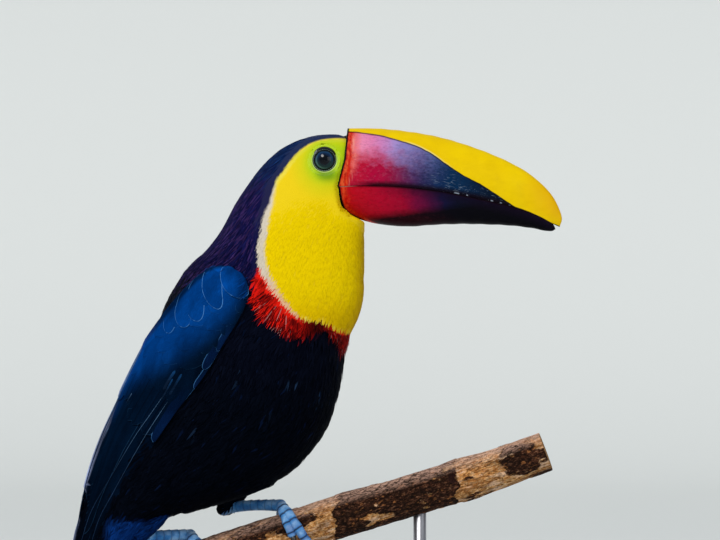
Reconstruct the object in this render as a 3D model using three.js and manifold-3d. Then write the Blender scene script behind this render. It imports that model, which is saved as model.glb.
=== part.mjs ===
// A life-size, still yellow-throated toucan (Ramphastos ambiguus) on a cut perch and a display stand.
// Millimetres, +Z up. The bird looks along +X, its left side is +Y. The origin is the middle of the stand's
// underside. Each body part is one closed mesh, parted from its neighbours by a thin gap.
import * as THREE from 'three';
import { mergeVertices } from 'three/addons/utils/BufferGeometryUtils.js';
import Module from 'manifold-3d';

const wasm = await Module();
wasm.setup();

// ---------------------------------------------------------------- driving dimensions
const GAP = 0.35; // between neighbouring parts
const EYE = { x: 37, y: 14.6, z: 410.6, radius: 8.6 };
const PERCH = { left: -66, right: 174, radius: 13.2, sides: 12, steps: 20 };
const BASE = { length: 260, width: 122, height: 12, corner: 34, bevel: 2 };
const ROD = { radius: 4, stations: [-10, 96] };
const TARSUS_RADIUS = 3.5;
const WING_THICKNESS = 4.2;
const WING_DEPTH = 7; // how far a wing's inner side reaches below the trunk's surface before it is cut

// The body's outline in side view, from the face to the tips of the tail coverts. Each station is one
// flat cross-section: its upper point, its lower point and its half width.
const BODY = [
  { name: 'bill_root', back: [62, 425.6], front: [58, 379], half: 17.4 },
  { name: 'face', back: [50.2, 426.4], front: [60.6, 374.0], half: 18.9 },
  { name: 'brow', back: [40.3, 426.8], front: [62.0, 367.5], half: 21.3 },
  { name: 'crown', back: [27.9, 425.6], front: [62.2, 357.5], half: 24 },
  { name: 'occiput', back: [15.5, 420.9], front: [62.3, 345.3], half: 26.3 },
  { name: 'nape', back: [3.1, 412.8], front: [62.2, 334.2], half: 28.5 },
  { name: 'neck', back: [-9.3, 397.6], front: [61.6, 322.4], half: 31.2 },
  { name: 'collar', back: [-19.2, 382.7], front: [58.9, 310.6], half: 34.8 },
  { name: 'shoulder', back: [-28.0, 366.2], front: [54.3, 300.7], half: 39 },
  { name: 'breast', back: [-38.0, 353.9], front: [50.4, 289.5], half: 43.2 },
  { name: 'mantle', back: [-50.6, 341.4], front: [48.4, 277.0], half: 46.8 },
  { name: 'chest', back: [-61.8, 321.6], front: [45.6, 263.0], half: 49.2 },
  { name: 'keel', back: [-70.0, 300.5], front: [40.3, 246.5], half: 50 },
  { name: 'back', back: [-77.5, 280.5], front: [29.8, 230.0], half: 49.2 },
  { name: 'belly', back: [-86.2, 258.9], front: [14.3, 214.6], half: 46.6 },
  { name: 'flank', back: [-94.0, 236.8], front: [-9.3, 204.0], half: 42.4 },
  { name: 'rump', back: [-100.4, 215.1], front: [-37.2, 195.5], half: 36.4 },
  { name: 'vent', back: [-105.6, 196.5], front: [-64.1, 186.4], half: 30.5 },
  { name: 'tail_root', back: [-110.6, 177.4], front: [-83.5, 170.0], half: 25.5 },
  { name: 'coverts', back: [-115.4, 155.2], front: [-97.0, 150.5], half: 22.5 },
  { name: 'covert_tips', back: [-120.6, 128.6], front: [-108.6, 125.7], half: 20 },
];
const stationOf = (name) => BODY.findIndex((station) => station.name === name);

// Where the horn of the bill meets the face: the edge's x at each height, as pairs of height and x.
const FACE_EDGE = [[358, 65], [371, 64], [374, 57.8], [377.3, 51.5], [380.5, 48], [385, 46.6], [393.7, 45],
  [399.3, 46.5], [410.4, 49.4], [422.8, 50.6], [431, 51.4]];

// The bill from its base to its tip: culmen (ridge), tomium (cutting edge), keel and half width.
const BILL = [
  { culmen: [36, 429.6], tomium: [30, 393.3], keel: [34, 381.5], half: 19.4 },
  { culmen: [51.4, 430.0], tomium: [46.0, 393.7], keel: [49.6, 376.8], half: 18.7 },
  { culmen: [71.3, 429.8], tomium: [65.1, 394.3], keel: [66.6, 371.4], half: 17.6 },
  { culmen: [89.9, 427.9], tomium: [84.5, 393.6], keel: [86.8, 369.2], half: 16.2 },
  { culmen: [108.5, 424.5], tomium: [103.0, 391.6], keel: [107.0, 370.3], half: 14.6 },
  { culmen: [127.1, 419.0], tomium: [120.0, 388.9], keel: [123.0, 370.7], half: 12.7 },
  { culmen: [145.2, 412.0], tomium: [136.0, 385.5], keel: [138.5, 370.4], half: 10.7 },
  { culmen: [160.0, 404.4], tomium: [150.0, 382.2], keel: [152.5, 369.7], half: 8.7 },
  { culmen: [172.0, 395.2], tomium: [162.0, 378.6], keel: [164.5, 368.3], half: 6.7 },
  { culmen: [180.3, 384.6], tomium: [172.0, 374.4], keel: [173.5, 366.6], half: 4.6 },
  { culmen: [184.1, 374.2], tomium: [178.6, 370.6], keel: [178.2, 366.3], half: 2.4 },
];
const BILL_TIP = { upper: [182.6, 368.8], lower: [180.2, 367.6] };

// The folded wing in side view, from the shoulder to the tip: upper edge and lower edge.
const WING = [
  { dorsal: [-22.5, 344.5], ventral: [-12.5, 339.5] },
  { dorsal: [-34.5, 343.0], ventral: [-8.4, 327.5] },
  { dorsal: [-48.5, 331.5], ventral: [-14.5, 312.0] },
  { dorsal: [-63.0, 314.5], ventral: [-22.9, 298.3] },
  { dorsal: [-75.2, 297.8], ventral: [-35.3, 277.3] },
  { dorsal: [-85.4, 277.8], ventral: [-50.2, 258.7] },
  { dorsal: [-94.0, 258.5], ventral: [-65.1, 237.6] },
  { dorsal: [-102.6, 239.3], ventral: [-80.0, 216.6] },
  { dorsal: [-109.6, 219.5], ventral: [-91.4, 200.4] },
  { dorsal: [-114.6, 199.6], ventral: [-98.8, 186.0] },
  { dorsal: [-118.6, 177.9], ventral: [-105.4, 169.0] },
  { dorsal: [-122.6, 156.2], ventral: [-114.0, 150.0] },
  { dorsal: [-124.6, 142.6], ventral: [-123.0, 140.6] },
];

// The closed tail, as if laid straight: how far along, half width, half thickness.
const TAIL = { root: [-98.5, 172], tip: [-136, 20.5],
  along: [0, 0.2, 0.45, 0.7, 0.86, 0.95, 1],
  half: [15, 18, 22, 26, 28, 26.5, 20],
  thick: [3.4, 3.2, 2.7, 2.2, 1.8, 1.4, 0.9] };

// Each foot: where it grips along the perch, its heel, the start of its feathered shin, and its side.
const LEGS = [
  { name: 'right', side: -1, grip: -40, heel: [-81.5, -15, 176.5], knee: [-47, -18, 220] },
  { name: 'left', side: 1, grip: 15.5, heel: [-26, 16, 193.5], knee: [-6, 18, 232] },
];
// Toes of a foot that grips across: side of the perch (-1 is -Y), first angle, last angle, travel, radius.
const TOES = [
  { name: 'inner_front', to: -1, from: 8, end: 98, travel: 1.5, radius: 2.9 },
  { name: 'outer_front', to: -1, from: 8, end: 124, travel: 10, radius: 3.1 },
  { name: 'inner_rear', to: 1, from: 8, end: 78, travel: 2, radius: 2.6 },
  { name: 'outer_rear', to: 1, from: 8, end: 112, travel: -6.5, radius: 2.9 },
];
const CLAW = { length: 9.5, radius: 1.7, tip: 0.45, curl: 34 };

// ---------------------------------------------------------------- materials
const finish = (color, roughness) => new THREE.MeshStandardMaterial({ color, roughness, metalness: 0 });
const materials = {
  blackPlumage: finish(0x0a0d1c, 0.6),
  yellowPlumage: finish(0xe6c30c, 0.65),
  wingPlumage: finish(0x0d2347, 0.5),
  horn: finish(0x7c0f26, 0.32),
  darkHorn: finish(0x4a0c18, 0.32),
  eye: finish(0x06121c, 0.06),
  scutes: finish(0x5c86b4, 0.45),
  claw: finish(0x141414, 0.35),
  bark: finish(0x7a5230, 0.9),
  stand: finish(0x2b2520, 0.45),
  rod: new THREE.MeshStandardMaterial({ color: 0x8f8f92, roughness: 0.35, metalness: 1 }),
};

// ---------------------------------------------------------------- geometry helpers
const lerp = THREE.MathUtils.lerp;
const rad = THREE.MathUtils.degToRad;
const sideView = ([x, z], y = 0) => new THREE.Vector3(x, y, z);
const smooth = (points) => new THREE.CatmullRomCurve3(points, false, 'centripetal');
const signedPower = (value, power) => Math.sign(value) * Math.abs(value) ** power;

// A closed geometry through rings of points with equal counts, its two ends closed by fans.
function loft(rings) {
  const count = rings[0].length;
  const positions = rings.flat();
  const index = [];
  for (let i = 0; i + 1 < rings.length; i++)
    for (let j = 0; j < count; j++) {
      const a = i * count + j;
      const b = i * count + ((j + 1) % count);
      index.push(a, b, b + count, a, b + count, a + count);
    }
  [0, rings.length - 1].forEach((ringIndex) => {
    const ring = rings[ringIndex];
    const middle = ring.reduce((sum, p) => sum.add(p), new THREE.Vector3()).divideScalar(count);
    positions.push(middle);
    const hub = positions.length - 1;
    for (let j = 0; j < count; j++) {
      const a = ringIndex * count + j;
      const b = ringIndex * count + ((j + 1) % count);
      index.push(...(ringIndex === 0 ? [hub, b, a] : [hub, a, b]));
    }
  });
  return new THREE.BufferGeometry().setFromPoints(positions).setIndex(index);
}

// A tube of changing radius along a curve, with closed ends.
function sweep(curve, radiusAt, steps, sides) {
  const frames = curve.computeFrenetFrames(steps, false);
  const rings = [];
  for (let i = 0; i <= steps; i++) {
    const centre = curve.getPointAt(i / steps);
    const ring = [];
    for (let j = 0; j < sides; j++) {
      const angle = (j / sides) * Math.PI * 2;
      ring.push(centre.clone()
        .addScaledVector(frames.normals[i], Math.cos(angle) * radiusAt(i / steps))
        .addScaledVector(frames.binormals[i], Math.sin(angle) * radiusAt(i / steps)));
    }
    rings.push(ring);
  }
  return loft(rings);
}

function solid(geometry) {
  const bare = geometry.clone();
  bare.deleteAttribute('normal');
  bare.deleteAttribute('uv');
  const merged = mergeVertices(bare, 1e-4);
  const made = new wasm.Manifold(new wasm.Mesh({
    numProp: 3,
    vertProperties: merged.attributes.position.array,
    triVerts: new Uint32Array(merged.index.array),
  }));
  if (made.volume() > 0) return made;
  const turned = new Uint32Array(merged.index.array);
  for (let i = 0; i < turned.length; i += 3) [turned[i], turned[i + 1]] = [turned[i + 1], turned[i]];
  return new wasm.Manifold(new wasm.Mesh({
    numProp: 3,
    vertProperties: merged.attributes.position.array,
    triVerts: turned,
  }));
}

// The largest single body of a solid: a cut can leave crumbs beside it.
const largest = (made) => made.decompose().sort((a, b) => b.volume() - a.volume())[0];

function geometryOf(made) {
  const SIMPLIFIED_TO = 0.1;
  const mesh = largest(made.simplify(SIMPLIFIED_TO)).getMesh();
  return new THREE.BufferGeometry()
    .setAttribute('position', new THREE.BufferAttribute(new Float32Array(mesh.vertProperties), 3))
    .setIndex(new THREE.BufferAttribute(new Uint32Array(mesh.triVerts), 1));
}

const toucan = new THREE.Group();
function addPart(name, made, material) {
  const geometry = made.isBufferGeometry ? made : geometryOf(made);
  geometry.computeVertexNormals();
  const mesh = new THREE.Mesh(geometry, material);
  mesh.name = name;
  toucan.add(mesh);
}

// A smooth graph through [key, value] pairs in rising order of key.
function graph(pairs) {
  const slope = (i) => {
    const [before, after] = [pairs[Math.max(i - 1, 0)], pairs[Math.min(i + 1, pairs.length - 1)]];
    return (after[1] - before[1]) / (after[0] - before[0]);
  };
  return (key) => {
    if (key <= pairs[0][0]) return pairs[0][1];
    if (key >= pairs.at(-1)[0]) return pairs.at(-1)[1];
    const i = pairs.findIndex((pair) => pair[0] > key) - 1;
    const span = pairs[i + 1][0] - pairs[i][0];
    const t = (key - pairs[i][0]) / span;
    return (2 * t ** 3 - 3 * t ** 2 + 1) * pairs[i][1] + (t ** 3 - 2 * t ** 2 + t) * span * slope(i)
      + (3 * t ** 2 - 2 * t ** 3) * pairs[i + 1][1] + (t ** 3 - t ** 2) * span * slope(i + 1);
  };
}
const faceEdge = graph(FACE_EDGE);

// ---------------------------------------------------------------- body
const backLine = smooth(BODY.map((station) => sideView(station.back, station.half)));
const frontLine = smooth(BODY.map((station) => sideView(station.front, station.half)));
const ROUNDNESS = 2.15; // exponent of the cross-section, 2 being an ellipse
const BODY_SIDES = 28;
const RINGS_PER_STATION = 2;

// The cross-section at a station number, which need not be whole, grown on all sides.
function section(station, grow = 0) {
  const t = station / (BODY.length - 1);
  const back = backLine.getPoint(t);
  const front = frontLine.getPoint(t);
  const half = (back.y + front.y) / 2;
  back.y = front.y = 0;
  const up = back.clone().sub(front).normalize();
  return { back: back.addScaledVector(up, grow), front: front.addScaledVector(up, -grow), half: half + grow };
}

function bodyRing(station, grow) {
  const { back, front, half } = section(station, grow);
  const middle = back.clone().add(front).multiplyScalar(0.5);
  const up = back.clone().sub(middle);
  const ring = [];
  for (let j = 0; j < BODY_SIDES; j++) {
    const angle = (j / BODY_SIDES) * Math.PI * 2;
    const point = middle.clone().addScaledVector(up, signedPower(Math.cos(angle), 2 / ROUNDNESS));
    point.y = signedPower(Math.sin(angle), 2 / ROUNDNESS) * half;
    ring.push(point);
  }
  return ring;
}

// The body between two station numbers. Its rings lie at the same stations whatever the piece.
function bodyPiece(from, to, grow = 0) {
  const stations = [from];
  for (let i = Math.floor(from * RINGS_PER_STATION) + 1; i < to * RINGS_PER_STATION; i++)
    stations.push(i / RINGS_PER_STATION);
  stations.push(to);
  return solid(loft(stations.map((station) => bodyRing(station, grow))));
}

// Half the body's width where a line along Y through (x, z) leaves it, or 0 outside.
function halfWidthAt(x, z, grow) {
  const STEPS = 240;
  const side = (station) => {
    const { back, front } = section(station, grow);
    return (front.x - back.x) * (z - back.z) - (front.z - back.z) * (x - back.x);
  };
  let found = null;
  for (let i = 0; i < STEPS && found === null; i++) {
    const [low, high] = [i, i + 1].map((k) => (k / STEPS) * (BODY.length - 1));
    const [a, b] = [side(low), side(high)];
    if (a * b <= 0) found = lerp(low, high, a / (a - b || 1));
  }
  if (found === null) return 0;
  const { back, front, half } = section(found, grow);
  const depth = Math.hypot(back.x - front.x, back.z - front.z);
  const share = Math.hypot(x - back.x, z - back.z) / depth;
  const inside = (x - back.x) * (front.x - back.x) + (z - back.z) * (front.z - back.z) > 0 && share < 1;
  return inside ? half * (1 - Math.abs(1 - 2 * share) ** ROUNDNESS) ** (1 / ROUNDNESS) : 0;
}

const HEAD_END = stationOf('nape');
const NECK_END = stationOf('breast');
const TRUNK_END = stationOf('vent');
const CUT = 0.012; // half the parting gap, in stations

// Everything behind the face's front edge, moved forward by shift.
function behindFaceEdge(shift) {
  const REACH = 60;
  const outline = new THREE.Shape();
  outline.moveTo(-REACH, 330);
  for (let z = 330; z <= 445; z += 4) outline.lineTo(faceEdge(z) + shift, z);
  outline.lineTo(-REACH, 445);
  return solid(new THREE.ExtrudeGeometry(outline, { depth: 2 * REACH, bevelEnabled: false })
    .rotateX(Math.PI / 2).translate(0, REACH, 0));
}
const eyeBall = (side, grow) => solid(new THREE.SphereGeometry(EYE.radius + grow, 14, 9)
  .rotateX(Math.PI / 2).translate(EYE.x, side * EYE.y, EYE.z));

const tailAxis = sideView(TAIL.tip).sub(sideView(TAIL.root));
function tailSolid(grow) {
  const across = new THREE.Vector3(tailAxis.z, 0, -tailAxis.x).normalize();
  const half = graph(TAIL.along.map((s, i) => [s, TAIL.half[i]]));
  const thick = graph(TAIL.along.map((s, i) => [s, TAIL.thick[i]]));
  const STEPS = 10;
  const SIDES = 14;
  const rings = [];
  for (let i = 0; i <= STEPS; i++) {
    const s = Math.sin((i / STEPS) * Math.PI / 2) ** 0.8;
    const centre = sideView(TAIL.root).addScaledVector(tailAxis, s);
    rings.push(Array.from({ length: SIDES }, (_, j) => {
      const angle = (j / SIDES) * Math.PI * 2;
      return centre.clone()
        .addScaledVector(across, signedPower(Math.cos(angle), 0.75) * (thick(s) + grow))
        .add(new THREE.Vector3(0, signedPower(Math.sin(angle), 0.85) * (half(s) + grow), 0));
    }));
  }
  return solid(loft(rings));
}

const trunk = bodyPiece(NECK_END + CUT, TRUNK_END - CUT);
const grownBody = bodyPiece(HEAD_END, BODY.length - 1, GAP);
const tail = tailSolid(0);
const coverts = bodyPiece(TRUNK_END + CUT, BODY.length - 1).subtract(tailSolid(GAP));

addPart('head', bodyPiece(0, HEAD_END - CUT).intersect(behindFaceEdge(-GAP / 2))
  .subtract(eyeBall(1, GAP)).subtract(eyeBall(-1, GAP)), materials.yellowPlumage);
addPart('eye_left', eyeBall(1, 0), materials.eye);
addPart('eye_right', eyeBall(-1, 0), materials.eye);
addPart('neck', bodyPiece(HEAD_END + CUT, NECK_END - CUT), materials.yellowPlumage);
addPart('tail', tail, materials.blackPlumage);
addPart('tail_coverts', coverts, materials.blackPlumage);

// ---------------------------------------------------------------- bill
// One half of the bill: rings of a rounded arch that stands on the cutting edge.
function billHalf(outerOf, tip, edgeDrop, billSign, roundness) {
  const ARCH = 12;
  const STEPS = 22;
  const edgePoints = BILL.map((station) => sideView(station.tomium, station.half));
  const edgeLine = smooth([...edgePoints, sideView(tip, 0.5)]);
  const outerLine = smooth([...BILL.map((station) => sideView(outerOf(station))), sideView(tip)]);
  const rings = [];
  for (let i = 0; i <= STEPS; i++) {
    const t = i / STEPS;
    const edge = edgeLine.getPoint(t);
    const outer = outerLine.getPoint(t);
    const half = edge.y * (1 - 0.04 * (billSign < 0 ? 1 : 0));
    edge.y = 0;
    edge.z += edgeDrop;
    if (t === 1) outer.z += billSign * 0.8;
    const ring = [];
    for (let j = 0; j <= ARCH; j++) {
      const angle = (j / ARCH) * Math.PI;
      const rise = Math.sin(angle) ** (2 / roundness);
      const point = edge.clone().lerp(outer, rise);
      point.y = signedPower(Math.cos(angle), 2 / roundness) * half;
      ring.push(point);
    }
    rings.push(ring);
  }
  return solid(loft(rings)).subtract(behindFaceEdge(GAP / 2));
}

const upperBill = billHalf((s) => s.culmen, BILL_TIP.upper, GAP / 2, 1, 2.0);
const lowerBill = billHalf((s) => s.keel, BILL_TIP.lower, -GAP / 2, -1, 2.3);
addPart('bill_upper', upperBill, materials.horn);
addPart('bill_lower', lowerBill, materials.darkHorn);

// ---------------------------------------------------------------- wings
// A folded wing: a blade whose outer side lies WING_THICKNESS above the body and whose inner side is cut
// by it. It thins towards its lower edge, and towards its upper edge where that lies on the back.
function wing(side) {
  const STEPS = 20;
  const ACROSS = 7;
  const upperEdge = smooth(WING.map((station) => sideView(station.dorsal)));
  const lowerEdge = smooth(WING.map((station) => sideView(station.ventral)));
  const MIDDLE_GAP = 0.4; // to the plane between the wings
  const rings = [];
  for (let i = 0; i <= STEPS; i++) {
    const t = i / STEPS;
    const [top, low] = [upperEdge.getPoint(t), lowerEdge.getPoint(t)];
    const end = Math.min(1, Math.sin(Math.min(t * 5, 1) * Math.PI / 2) + 0.25);
    const thickness = lerp(WING_THICKNESS, 2.8, t) * end;
    const onBack = Math.max(0, 1 - t * 4);
    const outer = [];
    const inner = [];
    for (let j = 0; j <= ACROSS; j++) {
      const v = j / ACROSS;
      const point = top.clone().lerp(low, v);
      const towardsBack = 1 - onBack * (1 - Math.min(1, v * 2.5 + 0.3));
      const taper = Math.min(1, Math.sqrt(1 - v) * 1.5 + 0.16) * towardsBack;
      const outerY = Math.max(halfWidthAt(point.x, point.z, thickness * taper), MIDDLE_GAP + 1.2);
      const innerY = Math.max(halfWidthAt(point.x, point.z, -WING_DEPTH), MIDDLE_GAP);
      outer.push(new THREE.Vector3(point.x, side * outerY, point.z));
      inner.unshift(new THREE.Vector3(point.x, side * Math.min(innerY, outerY - 0.8), point.z));
    }
    rings.push([...outer, ...inner]);
  }
  return largest(solid(loft(rings)).subtract(grownBody).subtract(tailSolid(GAP)));
}
addPart('wing_right', wing(-1), materials.wingPlumage);
addPart('wing_left', wing(1), materials.wingPlumage);

// ---------------------------------------------------------------- perch
const perchCentre = smooth([[PERCH.left, 151.3], [-40, 160.6], [-9, 171.4], [21.7, 181.7], [46.5, 189.7],
  [83.7, 200.2], [120.9, 211.6], [145.7, 219.4], [PERCH.right, 230.0]]
  .map(([x, z], i) => new THREE.Vector3(x, [0, 0.6, 0, -0.6, -0.4, 0.8, 1.6, 0.6, -1][i], z)));
const perchRadius = (t) => PERCH.radius * (1.04 - 0.07 * t
  + 0.022 * Math.sin(t * 17) + 0.05 * Math.exp(-(((t - 0.79) / 0.035) ** 2)));

// The place on the perch's axis at x, with the directions along it, up from it and to its side.
function perchFrame(x) {
  let [low, high] = [0, 1];
  for (let i = 0; i < 24; i++) {
    const middle = (low + high) / 2;
    if (perchCentre.getPointAt(middle).x < x) low = middle;
    else high = middle;
  }
  const along = perchCentre.getTangentAt(low);
  const side = new THREE.Vector3(0, 1, 0).projectOnPlane(along).normalize();
  const centre = perchCentre.getPointAt(low);
  return { centre, side, up: along.clone().cross(side), radius: perchRadius(low) };
}
const perch = (grow) => solid(sweep(perchCentre, (t) => perchRadius(t) + grow, PERCH.steps, PERCH.sides));
addPart('perch', perch(0), materials.bark);

// ---------------------------------------------------------------- legs
// A point of a toe: so far round the perch from its top, in degrees, and so far out from its bark.
function onPerch(x, degrees, to, height) {
  const { centre, up, side, radius } = perchFrame(x);
  return centre.clone()
    .addScaledVector(up, Math.cos(rad(degrees)) * (radius + height))
    .addScaledVector(side, to * Math.sin(rad(degrees)) * (radius + height));
}

function toePath(leg, toe, fromShare, toShare, extraHeight) {
  const STEPS = 6;
  return smooth(Array.from({ length: STEPS + 1 }, (_, i) => {
    const share = lerp(fromShare, toShare, i / STEPS);
    const degrees = lerp(toe.from, toe.end, share);
    return onPerch(leg.grip + toe.travel * share, degrees, toe.to, toe.radius + 0.9 + extraHeight(share));
  }));
}

function foot(leg) {
  const ball = onPerch(leg.grip, 0, 1, TARSUS_RADIUS + 0.7);
  const heel = new THREE.Vector3(...leg.heel);
  const shank = smooth([heel, heel.clone().lerp(ball, 0.5).add(new THREE.Vector3(0, 0, 1)), ball]);
  const shankRadius = (t) => TARSUS_RADIUS * (1.12 - 0.5 * t * (1 - t) - 0.04 * t);
  let made = solid(sweep(shank, shankRadius, 5, 8))
    .add(solid(new THREE.SphereGeometry(TARSUS_RADIUS * 1.12, 9, 6).translate(...leg.heel)))
    .add(solid(new THREE.SphereGeometry(TARSUS_RADIUS * 1.22, 9, 6).translate(ball.x, ball.y, ball.z)));
  for (const toe of TOES) {
    const knuckles = (t) => toe.radius * (1 - 0.22 * t + 0.05 * Math.cos(t * 19));
    made = made.add(solid(sweep(toePath(leg, toe, 0, 1, () => 0), knuckles, 6, 6)));
  }
  return made.subtract(perch(GAP)).subtract(grownBody);
}

function claw(leg, toe) {
  const start = 1 + 1.1 / (rad(toe.end - toe.from) * (PERCH.radius + toe.radius));
  const reach = start + (CLAW.curl / (toe.end - toe.from));
  const path = toePath(leg, toe, start, reach, (share) => -0.6 + Math.sin(((share - start) / (reach - start))
    * Math.PI) * 1.2 - toe.radius * 0.35 * ((share - start) / (reach - start)));
  return solid(sweep(path, (t) => lerp(CLAW.radius, CLAW.tip, t ** 1.3), 5, 6)).subtract(perch(GAP));
}

// The feathered shin, from inside the belly to the heel.
function shin(leg, bareFoot) {
  const [knee, heel] = [new THREE.Vector3(...leg.knee), new THREE.Vector3(...leg.heel)];
  const path = smooth([knee, knee.clone().lerp(heel, 0.5), knee.clone().lerp(heel, 0.94)]);
  return solid(sweep(path, (t) => lerp(15, 6.2, t ** 0.9), 7, 14))
    .subtract(grownBody)
    .subtract(bareFoot);
}

for (const leg of LEGS) {
  const shank = smooth([new THREE.Vector3(...leg.heel), onPerch(leg.grip, 0, 1, TARSUS_RADIUS + 0.7)]);
  const clearance = solid(sweep(shank, () => TARSUS_RADIUS * 1.12 + GAP + 0.15, 3, 12))
    .add(solid(new THREE.SphereGeometry(TARSUS_RADIUS * 1.12 + GAP + 0.2, 14, 10).translate(...leg.heel)));
  addPart('shin_' + leg.name, shin(leg, clearance), materials.blackPlumage);
  addPart('foot_' + leg.name, foot(leg), materials.scutes);
  for (const toe of TOES) addPart(`claw_${leg.name}_${toe.name}`, claw(leg, toe), materials.claw);
}
addPart('trunk', trunk, materials.blackPlumage);

// ---------------------------------------------------------------- stand
function roundedPlate({ length, width, height, corner, bevel }) {
  const [halfLength, halfWidth] = [length / 2 - bevel, width / 2 - bevel];
  const shape = new THREE.Shape();
  [[1, 1], [-1, 1], [-1, -1], [1, -1]].forEach(([sx, sy], quarter) => {
    const start = (quarter * Math.PI) / 2;
    shape.absarc(sx * (halfLength - corner), sy * (halfWidth - corner), corner, start, start + Math.PI / 2);
  });
  return new THREE.ExtrudeGeometry(shape, {
    depth: height - 2 * bevel, bevelSize: bevel, bevelThickness: bevel, bevelSegments: 1, curveSegments: 5,
  }).translate(0, 0, bevel);
}
addPart('stand_base', solid(roundedPlate(BASE)), materials.stand);

ROD.stations.forEach((x, i) => {
  const { centre } = perchFrame(x);
  const height = centre.z - BASE.height - GAP;
  const rod = new THREE.CylinderGeometry(ROD.radius, ROD.radius, height, 16)
    .rotateX(Math.PI / 2).translate(x, centre.y, BASE.height + GAP + height / 2);
  addPart(`stand_rod_${i + 1}`, solid(rod).subtract(perch(GAP)), materials.rod);
});

export default toucan;
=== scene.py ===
"""The looks of a life-size toucan on a cut branch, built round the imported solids.

Lengths are in millimetres until a mesh is made. +X is the way the bill points, +Y the bird's left, +Z up.
"""
import math

import bmesh
import bpy
import numpy as np
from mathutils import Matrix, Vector, noise
from mathutils.bvhtree import BVHTree


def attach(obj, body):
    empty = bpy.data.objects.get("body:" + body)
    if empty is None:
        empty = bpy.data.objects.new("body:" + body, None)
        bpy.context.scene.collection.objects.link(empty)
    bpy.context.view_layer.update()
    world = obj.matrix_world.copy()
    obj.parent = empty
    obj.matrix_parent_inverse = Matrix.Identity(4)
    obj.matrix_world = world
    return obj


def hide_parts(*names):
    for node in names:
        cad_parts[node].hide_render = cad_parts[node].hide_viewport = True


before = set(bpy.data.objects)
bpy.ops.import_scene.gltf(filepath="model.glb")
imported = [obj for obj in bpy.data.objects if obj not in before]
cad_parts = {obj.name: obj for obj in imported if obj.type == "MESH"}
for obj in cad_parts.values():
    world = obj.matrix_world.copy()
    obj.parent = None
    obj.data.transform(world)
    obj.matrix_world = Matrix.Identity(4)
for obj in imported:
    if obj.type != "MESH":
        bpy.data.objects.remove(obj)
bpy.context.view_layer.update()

MM = 0.001
BODY = "root"
SIDES = ((1, "left"), (-1, "right"))
TURN = 2 * math.pi
rng = np.random.default_rng(11)


# ------------------------------------------------------------------ small helpers
def srgb(code):
    """A colour code such as "#f5d300" as three linear channels."""
    c = np.array([int(code[i:i + 2], 16) for i in (1, 3, 5)]) / 255
    return np.where(c <= 0.04045, c / 12.92, ((c + 0.055) / 1.055) ** 2.4)


def rgba(color):
    """Four channels from a colour code, from three channels or from one grey."""
    return (*np.broadcast_to(srgb(color) if isinstance(color, str) else color, 3), 1.0)


def step(edge0, edge1, x):
    """A soft step from 0 at edge0 to 1 at edge1."""
    t = np.clip((np.asarray(x, float) - edge0) / (edge1 - edge0), 0, 1)
    return t * t * (3 - 2 * t)


def hump(x, middle, width):
    """A soft hump of height 1."""
    return np.exp(-((x - middle) / width) ** 2)


def mix(a, b, t):
    t = np.asarray(t)[..., None]
    return a * (1 - t) + b * t


def unit(v):
    return v / np.maximum(np.linalg.norm(v, axis=-1, keepdims=True), 1e-9)


def spline(points):
    """A centripetal Catmull-Rom curve, as a function of 0..1 in equal shares of its points."""
    p = np.asarray(points, float)
    ext = np.vstack([2 * p[0] - p[1], p, 2 * p[-1] - p[-2]])

    def at(t):
        t = np.clip(np.atleast_1d(t), 0, 1) * (len(p) - 1)
        i = np.minimum(t.astype(int), len(p) - 2)
        w = (t - i)[:, None]
        p0, p1, p2, p3 = (ext[i + k] for k in range(4))
        d0, d1, d2 = (np.maximum(np.linalg.norm(b - a, axis=1), 1e-6)[:, None] ** 0.5
                      for a, b in ((p0, p1), (p1, p2), (p2, p3)))
        m1 = ((p1 - p0) / d0 - (p2 - p0) / (d0 + d1) + (p2 - p1) / d1) * d1
        m2 = ((p2 - p1) / d1 - (p3 - p1) / (d1 + d2) + (p3 - p2) / d2) * d1
        return ((2 * w ** 3 - 3 * w ** 2 + 1) * p1 + (w ** 3 - 2 * w ** 2 + w) * m1
                + (3 * w ** 2 - 2 * w ** 3) * p2 + (w ** 3 - w ** 2) * m2)
    return at


def run_of(points):
    """How far along a line of points each of them is."""
    return np.concatenate([[0], np.cumsum(np.linalg.norm(np.diff(points, axis=0), axis=1))])


def by_length(curve, samples=600):
    """The same curve as a function of 0..1 in equal shares of its length."""
    t = np.linspace(0, 1, samples)
    run = run_of(curve(t))
    return lambda s: curve(np.interp(np.atleast_1d(s) * run[-1], run, t))


def fbm(points, scale, octaves=3, seed=0.0):
    """Soft noise in -1..1 at points, its largest features about scale across."""
    out = np.zeros(len(points))
    for k in range(octaves):
        f = 2 ** k / scale
        out += np.array([noise.noise(Vector(p)) for p in points * f + seed + 17 * k]) / 2 ** k
    return out / 1.5


def grid_faces(rows, columns, wrap=False):
    i, j = np.meshgrid(np.arange(rows - 1), np.arange(columns if wrap else columns - 1), indexing="ij")
    k = (j + 1) % columns
    return np.stack([i * columns + j, i * columns + k, (i + 1) * columns + k, (i + 1) * columns + j],
                    -1).reshape(-1, 4)


def points_of(mesh):
    """A mesh's points, in millimetres."""
    co = np.empty(len(mesh.vertices) * 3)
    mesh.vertices.foreach_get("co", co)
    return co.reshape(-1, 3) / MM


def read_nodes(names):
    """The points and triangles of CAD nodes, in millimetres, with points at one place made one."""
    verts, faces, count = [], [], 0
    for name in names:
        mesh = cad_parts[name].data
        co, back = np.unique(np.round(points_of(mesh), 4), axis=0, return_inverse=True)
        verts.append(co)
        faces.append(back.ravel()[np.array([p.vertices[:] for p in mesh.polygons])] + count)
        count += len(co)
    return np.vstack(verts), np.vstack(faces)


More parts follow.
